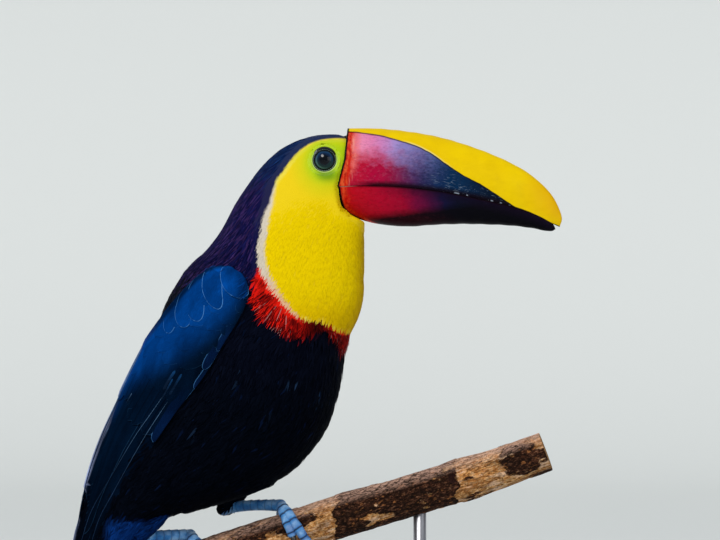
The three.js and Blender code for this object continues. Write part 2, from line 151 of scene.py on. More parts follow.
def normals_of(verts, faces):
    a, b, c = (verts[faces[:, k]] for k in range(3))
    n = np.cross(b - a, c - a)
    if faces.shape[1] == 4:
        n = np.cross(c - a, verts[faces[:, 3]] - b)
    out = np.zeros_like(verts)
    for k in range(faces.shape[1]):
        np.add.at(out, faces[:, k], n)
    return unit(out)


def bvh_of(verts, faces):
    return BVHTree.FromPolygons([Vector(v) for v in verts], faces.tolist())


def from_side(tree, x, z, side, far=200):
    """Where a level ray from the bird's left (side 1) or right (-1) meets a surface, and the normal there."""
    return tree.ray_cast(Vector((x, side * far, z)), Vector((0, -side, 0)))[:2]


class Pile:
    """Grids of points gathered into one mesh, with values for each point."""

    def __init__(self):
        self.count = 0
        self.kept = {"faces": []}

    def add(self, points, wrap=False, **values):
        """points is rows by columns by 3, and each value spreads over those rows and columns."""
        rows, columns = points.shape[:2]
        self.kept["faces"].append(grid_faces(rows, columns, wrap) + self.count)
        self.count += rows * columns
        for key, value in dict(values, points=points).items():
            more = np.shape(value)[2:]
            spread = np.broadcast_to(value, (rows, columns, *more)).reshape(rows * columns, *more)
            self.kept.setdefault(key, []).append(spread)

    def __getitem__(self, key):
        return np.concatenate(self.kept[key])

    def faces_towards(self, side):
        """Its faces, turned so that they look to one side."""
        looks = (normals_of(self["points"], self["faces"])[:, 1] * side).sum()
        return self["faces"][:, ::-1] if looks < 0 else self["faces"]


def make_mesh(name, verts, faces, material, colors=None, floats=None, uv=None, vane=None, normals=None):
    """A shown piece from points in millimetres. uv and vane hold a pair for each point."""
    mesh = bpy.data.meshes.new(name)
    mesh.vertices.add(len(verts))
    mesh.vertices.foreach_set("co", (np.asarray(verts) * MM).astype(np.float32).ravel())
    mesh.loops.add(faces.size)
    mesh.loops.foreach_set("vertex_index", faces.astype(np.int32).ravel())
    mesh.polygons.add(len(faces))
    mesh.polygons.foreach_set("loop_start", np.arange(0, faces.size, faces.shape[1], dtype=np.int32))
    mesh.update(calc_edges=True)
    mesh.polygons.foreach_set("use_smooth", np.ones(len(mesh.polygons), bool))
    if colors is not None:
        layer = mesh.color_attributes.new("Col", "FLOAT_COLOR", "POINT")
        channels = np.ones((len(verts), 4), np.float32)
        channels[:, :3] = colors
        layer.data.foreach_set("color", channels.ravel())
    for key, values in (floats or {}).items():
        mesh.attributes.new(key, "FLOAT", "POINT").data.foreach_set("value", np.asarray(values, np.float32))
    loops = np.empty(len(mesh.loops), np.int32)
    mesh.loops.foreach_get("vertex_index", loops)
    for key, values in (("OFBake", uv), ("Vane", vane)):
        if values is not None:
            layer = mesh.uv_layers.new(name=key)
            layer.data.foreach_set("uv", np.asarray(values, np.float32)[loops].ravel())
    if normals is not None:
        mesh.normals_split_custom_set_from_vertices(np.asarray(normals, np.float32))
    mesh.materials.append(material)
    obj = bpy.data.objects.new(name, mesh)
    bpy.context.scene.collection.objects.link(obj)
    return obj


def close_holes(obj, crease=None):
    """Fills a mesh's open ends. Edges that turn by more than crease, in radians, are drawn sharp."""
    bm = bmesh.new()
    bm.from_mesh(obj.data)
    bmesh.ops.holes_fill(bm, edges=[e for e in bm.edges if e.is_boundary])
    bmesh.ops.recalc_face_normals(bm, faces=bm.faces)
    if crease is not None:
        for edge in bm.edges:
            if len(edge.link_faces) == 2 and edge.calc_face_angle(0) > crease:
                edge.smooth = False
    bm.to_mesh(obj.data)
    bm.free()


def shown(obj, slot, *nodes):
    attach(obj, BODY)
    if nodes:
        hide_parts(*nodes)
    return obj


# ------------------------------------------------------------------ materials
class Nodes:
    """A short way to write a material's node tree. Colours may be codes such as "#f5d300"."""

    def __init__(self, name, **sockets):
        self.material = bpy.data.materials.new(name)
        self.material.use_nodes = True
        self.tree = self.material.node_tree
        self.shader = self.tree.nodes["Principled BSDF"]
        for key, value in sockets.items():
            self.shader.inputs[key.replace("_", " ")].default_value = value

    def node(self, kind, **settings):
        made = self.tree.nodes.new("ShaderNode" + kind)
        for key, value in settings.items():
            setattr(made, key, value)
        return made

    def put(self, value, socket):
        if isinstance(value, bpy.types.NodeSocket):
            self.tree.links.new(value, socket)
        else:
            socket.default_value = rgba(value) if socket.type == "RGBA" else value

    def attribute(self, name, output="Fac"):
        return self.node("Attribute", attribute_name=name).outputs[output]

    def math(self, operation, a, b=0.0, clamp=False):
        made = self.node("Math", operation=operation, use_clamp=clamp)
        self.put(a, made.inputs[0])
        self.put(b, made.inputs[1])
        return made.outputs[0]

    def times(self, first, *others):
        for other in others:
            first = self.math("MULTIPLY", first, other)
        return first

    def plus(self, first, *others):
        for other in others:
            first = self.math("ADD", first, other)
        return first

    def minus(self, a, b):
        return self.math("SUBTRACT", a, b)

    def within(self, value, low, high):
        """0 at low, 1 at high, held outside them."""
        return self.math("DIVIDE", self.minus(value, low), high - low, True)

    def noise(self, scale, detail=3.0, stretch=(1, 1, 1), source=None, rough=0.55, turn=0.0):
        """Noise over object space in metres, or over another vector, turned round Y by turn degrees."""
        vector = source or self.node("TexCoord").outputs["Object"]
        if turn:
            turned = self.node("Mapping")
            self.put(vector, turned.inputs["Vector"])
            turned.inputs["Rotation"].default_value = (0, math.radians(turn), 0)
            vector = turned.outputs[0]
        mapped = self.node("Mapping")
        self.put(vector, mapped.inputs["Vector"])
        mapped.inputs["Scale"].default_value = stretch
        made = self.node("TexNoise")
        self.put(mapped.outputs[0], made.inputs["Vector"])
        for key, value in (("Scale", scale), ("Detail", detail), ("Roughness", rough)):
            made.inputs[key].default_value = value
        return made.outputs[0]

    def cells(self, scale):
        """The distance from the middle of each of many small cells."""
        made = self.node("TexVoronoi")
        made.inputs["Scale"].default_value = scale
        return made.outputs["Distance"]

    def ramp(self, value, *stops):
        """Each stop is a place in 0..1 and a colour or grey."""
        made = self.node("ValToRGB")
        self.put(value, made.inputs[0])
        while len(made.color_ramp.elements) < len(stops):
            made.color_ramp.elements.new(0.5)
        for element, (place, color) in zip(made.color_ramp.elements, stops):
            element.position = place
            element.color = rgba(color)
        return made.outputs["Color"]

    def blend(self, share, a, b, kind="MIX"):
        made = self.node("Mix", data_type="RGBA", blend_type=kind)
        for value, socket in zip((share, a, b), (made.inputs[0], made.inputs[6], made.inputs[7])):
            self.put(value, socket)
        return made.outputs[2]

    def bump(self, height, strength, distance, normal=None):
        made = self.node("Bump")
        made.inputs["Strength"].default_value = strength
        made.inputs["Distance"].default_value = distance
        self.put(height, made.inputs["Height"])
        if normal is not None:
            self.put(normal, made.inputs["Normal"])
        return made.outputs[0]

    def done(self, color, roughness=None, normal=None):
        for value, key in ((color, "Base Color"), (roughness, "Roughness"), (normal, "Normal")):
            if value is not None:
                self.put(value, self.shader.inputs[key])
        return self.material


def feather_material(name, roughness, specular, tint, grain_depth=0.3):
    """Plumage in the piece's own colours, with its gloss tinted and a fine grain round a fixed mean shade."""
    MEAN_SHADE = 0.15
    m = Nodes(name, Roughness=roughness, Specular_IOR_Level=specular, Specular_Tint=(*tint, 1))
    shade = m.times(m.minus(m.noise(900, 2.0), 0.5), grain_depth)
    return m.done(m.blend(m.plus(shade, MEAN_SHADE), m.attribute("Col", "Color"), 0.0))


# ------------------------------------------------------------------ plumage markings
BLACK = srgb("#070a16")
NAPE = srgb("#141442")
CAP = srgb("#0b204c")
YELLOW = srgb("#f5d300")
AMBER_SHADE = srgb("#d49b00")
LIME = srgb("#b4d206")
YELLOW_GREEN = srgb("#c8d200")
UNDER_EYE_SHADOW = srgb("#6c9602")
PALE_YELLOW = srgb("#f2ec66")
CREAM = srgb("#ded2bd")
PEACH = srgb("#eebd92")
MAROON = srgb("#2a0306")
RED = srgb("#ee1c10")
PINK_HIGHLIGHT = srgb("#e39a96")
BELLY = srgb("#04070f")
FLANK_BLUE = srgb("#0b3478")
EYE = dict(x=37.0, y=14.6, z=409.8, radius=8.6)

# The bib's edge in side view, seen as a closed line round its middle. It goes from the forehead back
# over the cheek, down the side of the neck, under the breast and forward past the bird's front.
BIB_MIDDLE = (37.0, 363.0)
BIB_EDGE = [(49.6, 423.4), (40.3, 423.1), (34.1, 422.2), (27.9, 419.9), (21.7, 415.5), (16.1, 409.3),
            (11.8, 402.9), (8.1, 398.6), (6.3, 393.7), (3.7, 383.8), (-0.6, 374.5), (-2.8, 363.9),
            (-2.5, 339.1), (0.0, 334.2), (3.7, 328.6), (9.3, 321.8), (15.5, 315.0), (21.7, 310.6),
            (27.9, 309.4), (34.1, 308.2), (40.3, 306.0), (44.6, 303.2), (48.4, 301.9), (54.0, 301.6),
            (80.0, 300.0), (110.0, 363.0), (70.0, 424.0)]
# Widths in millimetres at directions from the bib's middle, in degrees from straight ahead.
WHITE_WIDTH = [(118, 0), (130, 0.4), (138, 1.1), (147, 2.0), (157, 3.0), (178, 4.4), (205, 5.0), (215, 4.6),
               (225, 3.8), (237, 2.8), (248, 1.7), (256, 0.6), (262, 0), (300, 0)]
RED_WIDTH = [(206, 0), (210, 3), (215, 8), (222, 13), (233, 15), (245, 13), (259, 10), (266, 7), (271, 3),
             (276, 6), (281, 12), (300, 12), (330, 12)]


def width_at(angle, widths):
    return np.interp(angle, *zip(*widths), left=0, right=0)


def around_bib(x, z):
    """How far outside the bib's edge, in millimetres, and in which direction from its middle."""
    dx, dz = x - BIB_MIDDLE[0], z - BIB_MIDDLE[1]
    angle = np.degrees(np.arctan2(dz, dx)) % 360
    edge = np.array(BIB_EDGE) - BIB_MIDDLE
    edge_angle = np.degrees(np.arctan2(edge[:, 1], edge[:, 0])) % 360
    reach = np.interp(angle, edge_angle, np.hypot(edge[:, 0], edge[:, 1]), period=360)
    return np.hypot(dx, dz) - reach, angle


def maroon_share(angle):
    """How dark the red band is each way: darkest where it is narrowest, under the bib's lowest point."""
    return 0.94 * np.exp(-((angle - 265) / 11.5) ** 2)


TAIL_ROOT, TAIL_TIP = (-98.5, 172.0), (-136.0, 20.5)


def tail_side(x, z):
    """How far in front of and below the tail's own plane, in millimetres."""
    back, down = TAIL_ROOT[0] - TAIL_TIP[0], TAIL_ROOT[1] - TAIL_TIP[1]
    return ((x - TAIL_ROOT[0]) * down - (z - TAIL_ROOT[1]) * back) / math.hypot(back, down)


def plumage(p, jitter=0.0):
    """The colour of the plumage at points, the same for skin and coat. jitter frays the borders."""
    x, y, z = p[:, 0], np.abs(p[:, 1]), p[:, 2]
    out, angle = around_bib(x, z)
    out = out + jitter
    white, red = width_at(angle, WHITE_WIDTH), width_at(angle, RED_WIDTH)
    # The dark side: cap, nape and neck, then breast, belly and back.
    dark = mix(CAP, NAPE, step(415, 385, z))
    dark = mix(dark, BLACK, step(350, 318, z + 0.35 * x))
    dark = mix(dark, BELLY, step(300, 250, z))
    dark = mix(dark, FLANK_BLUE, step(192, 184, z) * step(-99, -92, x) * step(-68, -78, x) * 0.9)
    # Red undertail coverts, darkened as painted shade under the tail, and creamy uppertail coverts.
    behind = tail_side(x, z)
    under = step(172, 164, z + 0.25 * (x + 90)) * step(-70, -78, x) * step(-1.5, 1.5, behind)
    dark = mix(dark, RED * 0.6, under)
    dark = mix(dark, CREAM, step(172, 166, z) * step(1.5, -1.5, behind))
    # The red band, and the white line between it and the bib.
    color = mix(mix(RED, MAROON, maroon_share(angle)), dark, step(-1.2, 1.2, out - red))
    color = np.where((red <= 0)[:, None], dark, color)
    cream = mix(CREAM, PEACH, step(205, 240, angle))
    color = mix(mix(PALE_YELLOW, cream, step(0.2, 1.2, white)), color, step(-0.6, 0.6, out))
    # The bib, with a pale line over the brow. The front of the throat and the bib's lower part are darkened
    # towards amber as painted shade.
    inner = mix(YELLOW, AMBER_SHADE, step(40, 62, x) * step(395, 350, z) * 0.55 * step(24, 6, y))
    inner = mix(inner, AMBER_SHADE, 0.4 * step(330, 305, z))
    brow = step(-3.0, -1.8, out) * step(-0.6, -1.4, out) * step(48, 60, angle) * step(140, 125, angle)
    inner = mix(inner, PALE_YELLOW, 0.5 * brow)
    color = mix(inner, color, step(-1.3, 0.9, out + np.maximum(white, 0.01)))
    # Lime skin round the eye, fading into the yellow of the face, with a painted shadow in darker green below
    # the eye.
    ahead = np.maximum(x - EYE["x"], 0)
    eye = np.hypot(x - EYE["x"] - 0.55 * ahead, (z - EYE["z"] + 1.0) * 0.9)
    side = step(6, 12, y) * (out < -0.5)
    color = mix(color, YELLOW_GREEN, 0.6 * step(24, 12, eye) * side)
    green = mix(LIME, UNDER_EYE_SHADOW, 0.85 * step(6.5, 1.5, np.hypot((x - 38.5) * 0.7, z - 400.6)))
    return mix(color, green, step(15.0, 8.0, eye) * side)


# ------------------------------------------------------------------ the lie of the feathers
# Places in side view, and the way the feathers there point.
LIE = [((50, 425), (-1, 0.05)), ((28, 425), (-1, -0.15)), ((5, 413), (-0.78, -0.62)),
       ((-15, 387), (-0.6, -0.8)), ((-30, 360), (-0.62, -0.78)), ((-55, 335), (-0.66, -0.75)),
       ((46, 405), (-0.9, -0.35)), ((30, 392), (-0.55, -0.83)), ((20, 405), (-0.85, -0.5)),
       ((60, 368), (-0.02, -1)), ((35, 345), (-0.12, -1)), ((5, 350), (-0.22, -0.97)),
       ((58, 320), (-0.12, -1)), ((50, 290), (-0.25, -0.97)), ((-4, 326), (-0.72, -0.7)),
       ((8, 309), (-0.6, -0.8)), ((28, 300), (-0.42, -0.9)),
       ((40, 250), (-0.5, -0.86)), ((10, 216), (-0.88, -0.45)), ((-30, 235), (-0.72, -0.7)),
       ((-10, 285), (-0.3, -0.95)), ((-66, 188), (-0.85, -0.5)), ((-98, 150), (-0.3, -0.95)),
       ((-85, 265), (-0.42, -0.9)), ((-104, 200), (-0.22, -0.97)), ((-115, 150), (-0.22, -0.97))]


def flow(p):
    """The way the feathers point at places on the body."""
    places = np.array([a for a, _ in LIE], float)
    ways = np.array([b for _, b in LIE], float)
    d2 = (p[:, None, 0] - places[None, :, 0]) ** 2 + (p[:, None, 2] - places[None, :, 1]) ** 2
    way = unit((1 / (d2 + 60) ** 1.6) @ ways)
    return np.stack([way[:, 0], np.zeros(len(p)), way[:, 1]], 1)


# Where the face's feathers end and the horn begins: height, then how far forward.
FACE_EDGE = [(358, 65), (371, 64), (374, 57.8), (377.3, 51.5), (380.5, 48), (385, 46.6), (393.7, 45),
             (399.3, 46.5), (410.4, 49.4), (422.8, 50.6), (431, 51.4)]


def seat_of(z):
    return np.interp(z, *zip(*FACE_EDGE))


# ------------------------------------------------------------------ skin
FLESH = ["head", "neck", "trunk", "tail_coverts", "shin_right", "shin_left", "wing_right", "wing_left"]
# The body's middle line in side view, from the face to the tail coverts, for the skin's unwrap.
MIDLINE = [(56, 401), (52, 398), (45, 391), (38, 383), (33, 373), (26, 360), (20, 346), (13, 333), (6, 321),
           (-1, 309), (-8, 292), (-15, 273), (-24, 255), (-36, 237), (-52, 220), (-69, 205), (-85, 191),
           (-97, 174), (-106, 153), (-114, 127)]


def unwrap(p):
    """The skin's unwrap: along the body's middle line, and round it."""
    line = spline(MIDLINE)(np.linspace(0, 1, 240))
    run = run_of(line)
    flat = p[:, [0, 2]]
    near = np.concatenate([np.argmin(((part[:, None] - line[None]) ** 2).sum(-1), 1)
                           for part in np.array_split(flat, max(1, len(flat) // 4000))])
    ahead = unit(np.gradient(line, axis=0))[near]
    off = flat - line[near]
    side = off[:, 0] * -ahead[:, 1] + off[:, 1] * ahead[:, 0]
    return np.stack([0.02 + 0.96 * run[near] / run[-1], 0.5 + np.arctan2(p[:, 1], side) / (1.04 * TURN)], 1)


def coat_depth(p):
    """How far the skin lies under the solids' surface."""
    x, y, z = p[:, 0], np.abs(p[:, 1]), p[:, 2]
    depth = 0.6 + 1.5 * step(392, 335, z - 0.3 * x)
    depth = depth * (1 - 0.6 * step(-6, -1, around_bib(x, z)[0] * -1) * step(300, 330, z))
    at_bill = np.maximum(step(9, 1, seat_of(z) - x), step(26, 14, np.hypot(x - 42, z - 408))) * (z > 366)
    depth = depth * (1 - at_bill) + 0.25 * at_bill
    shin = step(210, 200, z) * (x > -50) + step(186, 180, z) * (x > -90) * (x < -70)
    return np.where(shin > 0, np.minimum(depth, 0.7), depth)


GROW = 0.55              # the solids swell by this much before the remesh
VOXEL = 1.7
SMOOTHING = (0.6, -0.61) * 10
DIVE = 2.2               # how far behind the horn's edge the skin starts to go inside it


def remeshed(verts, faces):
    """The points, quads and edges of a voxel remesh."""
    raw = bpy.data.meshes.new("raw_skin")
    raw.from_pydata([tuple(v) for v in verts * MM], [], faces.tolist())
    holder = bpy.data.objects.new("raw_skin", raw)
    bpy.context.scene.collection.objects.link(holder)
    remesh = holder.modifiers.new("remesh", "REMESH")
    remesh.mode = "VOXEL"
    remesh.voxel_size = VOXEL * MM
    done = holder.evaluated_get(bpy.context.evaluated_depsgraph_get()).to_mesh()
    co = points_of(done)
    quads = np.array([p.vertices[:] for p in done.polygons if len(p.vertices) == 4])
    edges = np.array([e.vertices[:] for e in done.edges])
    holder.to_mesh_clear()
    bpy.data.objects.remove(holder)
    bpy.data.meshes.remove(raw)
    return co, quads, edges


def make_skin():
    verts, faces = read_nodes(FLESH)
    # The head's front is drawn out into the bill's base, so that the face doesn't stop short of the horn.
    front = (np.abs(verts[:, 0] - seat_of(verts[:, 2])) < 1.0) & (verts[:, 2] > 377)
    verts = verts + normals_of(verts, faces) * GROW
    verts[front] = verts[front] * (1, 0.84, 0.86) + (6, 0, 0.14 * 401)
    co, quads, edges = remeshed(verts, faces)
    degree = np.bincount(edges.ravel(), minlength=len(co))[:, None]
    for strength in SMOOTHING:
        total = np.zeros_like(co)
        np.add.at(total, edges[:, 0], co[edges[:, 1]])
        np.add.at(total, edges[:, 1], co[edges[:, 0]])
        co = co + (total / degree - co) * strength
    co = co - normals_of(co, quads) * (GROW + coat_depth(co))[:, None]
    horn = bvh_of(*read_nodes(["bill_upper", "bill_lower"]))
    seat = seat_of(co[:, 2])
    for i in np.nonzero((co[:, 0] > seat - DIVE) & (co[:, 2] > 373))[0]:
        x, y, z = co[i]
        side = 1 if y > 0 else -1
        hits = [from_side(horn, max(x, seat[i] + 0.7), z + dz, side, 60)[0] for dz in (0, 1.3, -1.3)]
        inner = min([abs(hit[1]) for hit in hits if hit is not None], default=99) - 0.9
        if abs(y) > inner:
            share = min(max((x - seat[i] + DIVE) / DIVE, 0), 1) ** 2
            co[i, 1] = side * (abs(y) + (max(inner, 0.5) - abs(y)) * share)
    # Under the eyelids the skin steps in, so that the lids lie over it.
    # Under the bill the throat comes forward.
    away = np.hypot(co[:, 0] - EYE["x"], co[:, 2] - EYE["z"])
    beside = (np.abs(co[:, 1]) > 8) & (co[:, 0] < seat - 0.5)
    co[:, 1] -= np.sign(co[:, 1]) * 2.6 * step(9.6, 8.0, away) * beside
    co[:, 0] += 0.8 * step(6.0, 2.0, np.hypot(co[:, 0] - 59.0, co[:, 2] - 373.0))
    return co, quads


skin_verts, skin_faces = make_skin()
skin_normals = normals_of(skin_verts, skin_faces)
skin_bvh = bvh_of(skin_verts, skin_faces)


# ------------------------------------------------------------------ tufts
def march(roots, lengths, yaw, segments, surface, lie):
    """Points, normals and ways along a surface from each root, down the lie of the feathers."""
    points, ups, ways = [], [], []
    here = roots
    for _ in range(segments + 1):
        nearest = [surface.find_nearest(p) for p in here]
        on = np.array([place for place, _, _, _ in nearest])
        up = np.array([normal for _, normal, _, _ in nearest])
        way = lie(on)
        way = unit(way - up * (way * up).sum(1, keepdims=True))
        side = np.cross(up, way)
        way = way * np.cos(yaw)[:, None] + side * np.sin(yaw)[:, None]
        points.append(on)
        ups.append(up)
        ways.append(way)
        here = on + way * (lengths / segments)[:, None]
    return np.stack(points, 1), np.stack(ups, 1), np.stack(ways, 1)


STRAND = [(0, 0.55), (0.35, 1.0), (0.75, 0.72), (1, 0.08)]     # a tuft's width along it
PATCH = 0.003                                                  # the size of a tuft's patch in the unwrap


def coat(name, roots, lengths, widths, lifts, yaw, material, slot="plumage_black", segments=3, shade=0.16,
         base=0.72, color_of=plumage, sample_at=0.7, ragged=0.8, surface=skin_bvh, lie=flow, camber=0.16):
    """One piece of coat: blades with a raised middle, coloured by where each one's outer part lies.

    base is their shade at the root, shade how much they differ, and ragged how far their colours stray.
    """
    count, rows = len(roots), segments + 1
    p, up, way = march(roots, lengths, yaw, segments, surface, lie)
    side = np.cross(up, way)
    s = np.linspace(0, 1, rows)
    wide = widths[:, None] * np.interp(s, *zip(*STRAND))[None]
    height = lifts[:, None] * (1 - (1 - s) ** 2)[None] - 0.25
    centre = p + up * height[..., None]
    half = side * (wide / 2)[..., None]
    low = up * (wide * camber)[..., None]
    verts = np.stack([centre - half - low, centre, centre + half - low], 2)
    round_off = side * min(0.35, camber * 2.2)
    normals = unit(np.stack([up - round_off, up, up + round_off], 2) - way[:, :, None] * 0.12)
    first = (np.arange(count) * rows * 3)[:, None, None, None]
    k = np.arange(segments)[None, :, None, None] * 3
    j = np.arange(2)[None, None, :, None]
    faces = (first + k + j + np.array([0, 3, 4, 1])).reshape(-1, 4)
    along = np.broadcast_to(s[None, :, None], (count, rows, 3))
    across = np.broadcast_to(np.array([-1, 0, 1.0])[None, None], (count, rows, 3))
    jitter = rng.normal(0, ragged, count)
    color = color_of(p[:, round(sample_at * segments)], jitter)
    color = color * np.clip(1 + rng.normal(0, shade, count), 0.45, 1.7)[:, None]
    fade = (base + (1 - base) * along) * (1 - 0.08 * np.abs(across))
    colors = np.clip(color[:, None, None, :] * fade[..., None], 0, 1)
    uv = unwrap(p[:, 0])[:, None, None, :] + np.stack([across * PATCH / 2.2, (along - 0.5) * PATCH], -1)
    obj = make_mesh(name, verts.reshape(-1, 3), faces, material, colors.reshape(-1, 3), uv=uv.reshape(-1, 2),
                    normals=normals.reshape(-1, 3))
    return shown(obj, slot)


def coats(labels, part, *tufts, **look):
    """A coat for each label, from the tufts whose part is its number."""
    for number, label in enumerate(labels):
        coat("coat_" + label, *(values[part == number] for values in tufts), **look)


def scatter(density):
    """Roots on the skin, with density(points) tufts per square millimetre."""
    a, b, c, d = (skin_verts[skin_faces[:, k]] for k in range(4))
    area = 0.5 * np.linalg.norm(np.cross(c - a, d - b), axis=1)
    centre = (a + b + c + d) / 4
    want = area * density(centre, skin_normals[skin_faces].mean(1))
    count = rng.poisson(want)
    face = np.repeat(np.arange(len(count)), count)
    u, v = rng.random((2, len(face), 1))
    p = (a[face] * (1 - u) + b[face] * u) * (1 - v) + (d[face] * (1 - u) + c[face] * u) * v
    return p, unit(skin_normals[skin_faces[face]].mean(1))


def strands(roots, normals, count, wide, long, spread):
    """Each root becomes a fan of strands, shorter towards its sides. Returns roots, length shares and yaw."""
    way = flow(roots)
    side = unit(np.cross(normals, way))
    j = (np.arange(count) - (count - 1) / 2) / max(1, (count - 1) / 2)
    moved = roots[:, None] + side[:, None] * (wide[:, None] * 0.42 * j[None])[..., None]
    share = 1 - 0.28 * j ** 2
    lengths = long[:, None] * share[None] * rng.uniform(0.88, 1.08, (len(roots), count))
    yaw = np.broadcast_to(j * spread, (len(roots), count)) + rng.normal(0, 0.05, (len(roots), count))
    return moved.reshape(-1, 3), lengths.ravel(), yaw.ravel()


# ------------------------------------------------------------------ the wings' outline in side view
WING = [((-22.5, 344.5), (-12.5, 339.5)), ((-34.5, 343.0), (-8.4, 327.5)), ((-48.5, 331.5), (-14.5, 312.0)),
        ((-63.0, 314.5), (-22.9, 298.3)), ((-75.2, 297.8), (-35.3, 277.3)), ((-85.4, 277.8), (-50.2, 258.7)),
        ((-94.0, 258.5), (-65.1, 237.6)), ((-102.6, 239.3), (-80.0, 216.6)),
        ((-109.6, 219.5), (-91.4, 200.4)),
        ((-114.6, 199.6), (-98.8, 186.0)), ((-118.6, 177.9), (-105.4, 169.0)),
        ((-122.6, 156.2), (-114.0, 150.0)),
        ((-124.6, 142.6), (-123.0, 140.6))]


def inside_wing(p, margin):
    """Whether points lie within the wing's outline in side view, by at least margin."""
    ring = np.array([a for a, _ in WING] + [b for _, b in WING[::-1]])
    x, z = p[:, 0][:, None], p[:, 2][:, None]
    a, b = ring[None], np.roll(ring, -1, 0)[None]
    crosses = ((a[..., 1] > z) != (b[..., 1] > z)) & (
        x < (b[..., 0] - a[..., 0]) * (z - a[..., 1]) / (b[..., 1] - a[..., 1] + 1e-12) + a[..., 0])
    inside = crosses.sum(1) % 2 == 1
    ab = b - a
    t = np.clip(((x - a[..., 0]) * ab[..., 0] + (z - a[..., 1]) * ab[..., 1]) / (ab ** 2).sum(-1), 0, 1)
    d = np.hypot(x - a[..., 0] - ab[..., 0] * t, z - a[..., 1] - ab[..., 1] * t).min(1)
    return np.where(inside, d, -d) > margin


# ------------------------------------------------------------------ coat over the skin
# Places in side view where a few loose barbs catch the light.
WISPS = [(-14, 276), (17, 274), (35, 263), (-1, 253), (-40, 243)]
SILK = feather_material("bib_silk", 0.75, 0.04, (1.0, 0.9, 0.4), 0.08)
NAPE_COAT = feather_material("nape_coat", 0.55, 0.008, (0.32, 0.28, 1.0))
BLACK_COAT = feather_material("black_coat", 0.55, 0.012, (0.16, 0.34, 1.0))
RED_COAT = feather_material("red_coat", 0.6, 0.04, (1.0, 0.4, 0.35))


def skin_material():
    m = Nodes("skin", Roughness=0.7, Specular_IOR_Level=0.15)
    return m.done(m.attribute("Col", "Color"), None, m.bump(m.noise(1400, 3.0), 0.5, 0.0004))


def eye_distance(p):
    return np.hypot(p[:, 0] - EYE["x"], p[:, 2] - EYE["z"]) + np.where(np.abs(p[:, 1]) < 8, 30, 0)


def bare(p, normals):
    """Where no tufts grow: on the eyelids, inside the horn, and under the wings."""
    in_horn = (p[:, 0] > seat_of(p[:, 2]) + 0.1) & (p[:, 2] > 371.5)
    under_wing = inside_wing(p, 3.0) & (np.abs(p[:, 1]) > 2)
    return (eye_distance(p) < 9.4) | in_horn | under_wing


def bib_zones(p):
    """How far outside the bib points are, how wide the red band is there, and in which direction they lie."""
    out, angle = around_bib(p[:, 0], p[:, 2])
    return out, width_at(angle, RED_WIDTH), angle


def odds(values, share):
    """A random share of the values, as True."""
    return rng.random(len(values)) < share


def dress_bib():
    """Short, silky and dense feathers, smallest beside the bill and eye."""
    def by_face(p, far, near):
        beside_bill = step(8, 1, seat_of(p[:, 2]) - p[:, 0]) * (p[:, 2] > 372)
        return np.maximum(step(far, near, eye_distance(p) - 6), beside_bill)
    p, n = scatter(lambda p, n: np.where((bib_zones(p)[0] < 1.0) & ~bare(p, n),
                                         1.15 + 1.6 * by_face(p, 30, 8), 0))
    face = by_face(p, 34, 6)
    long = (6.6 - 4.4 * face) * rng.uniform(0.8, 1.15, len(p))
    wide = (1.15 - 0.5 * face) * rng.uniform(0.8, 1.2, len(p))
    lift = np.minimum(0.55 - 0.35 * face, coat_depth(p) * 0.9) * rng.uniform(0.85, 1.05, len(p))
    yaw = rng.normal(0, 0.05, len(p))
    # By the white edge the tufts end at the same line.
    out, _, angle = bib_zones(p)
    long = np.where((out > -7) & (angle < 205), long * 0.75, long)
    coats(("bib_right", "bib_left"), p[:, 1] >= 0, p, long, wide, lift, yaw,
          material=SILK, slot="plumage_yellow",
          shade=0.02, base=0.97, ragged=0.35, sample_at=1.0, camber=0.05)


def dress_nape():
    """Cap, nape and hind neck: fine strands, some with a purple sheen."""
    def density(p, n):
        out, red, _ = bib_zones(p)
        high = p[:, 2] + 0.35 * p[:, 0] > 318
        return np.where((out >= -0.5) & (red <= 0) & high & ~bare(p, n), 1.0 + 0.9 * step(30, 52, p[:, 0]), 0)

    def color_of(q, jitter):
        color = plumage(q, np.abs(jitter))
        # Painted sheen: purple on some strands of the nape, blue on some strands of the crown.
        purple = odds(q, 0.3) * step(412, 385, q[:, 2]) * step(12, -8, q[:, 0])
        blue = odds(q, 0.3) * step(385, 410, q[:, 2])
        color = mix(color, srgb("#3a2758"), 0.75 * purple)
        return mix(color, srgb("#1b3768"), 0.7 * blue)
    p, _ = scatter(density)
    front = step(0, 46, p[:, 0])
    long = (12.0 - 8.6 * front) * rng.uniform(0.75, 1.15, len(p))
    wide = (1.3 - 0.6 * front) * rng.uniform(0.7, 1.2, len(p))
    lift = np.minimum(1.9, coat_depth(p)) * rng.uniform(0.5, 1.1, len(p))
    yaw = rng.normal(0, 0.13, len(p))
    coats(("nape_right", "nape_left"), p[:, 1] >= 0, p, long, wide, lift, yaw, material=NAPE_COAT, shade=0.3,
          color_of=color_of)


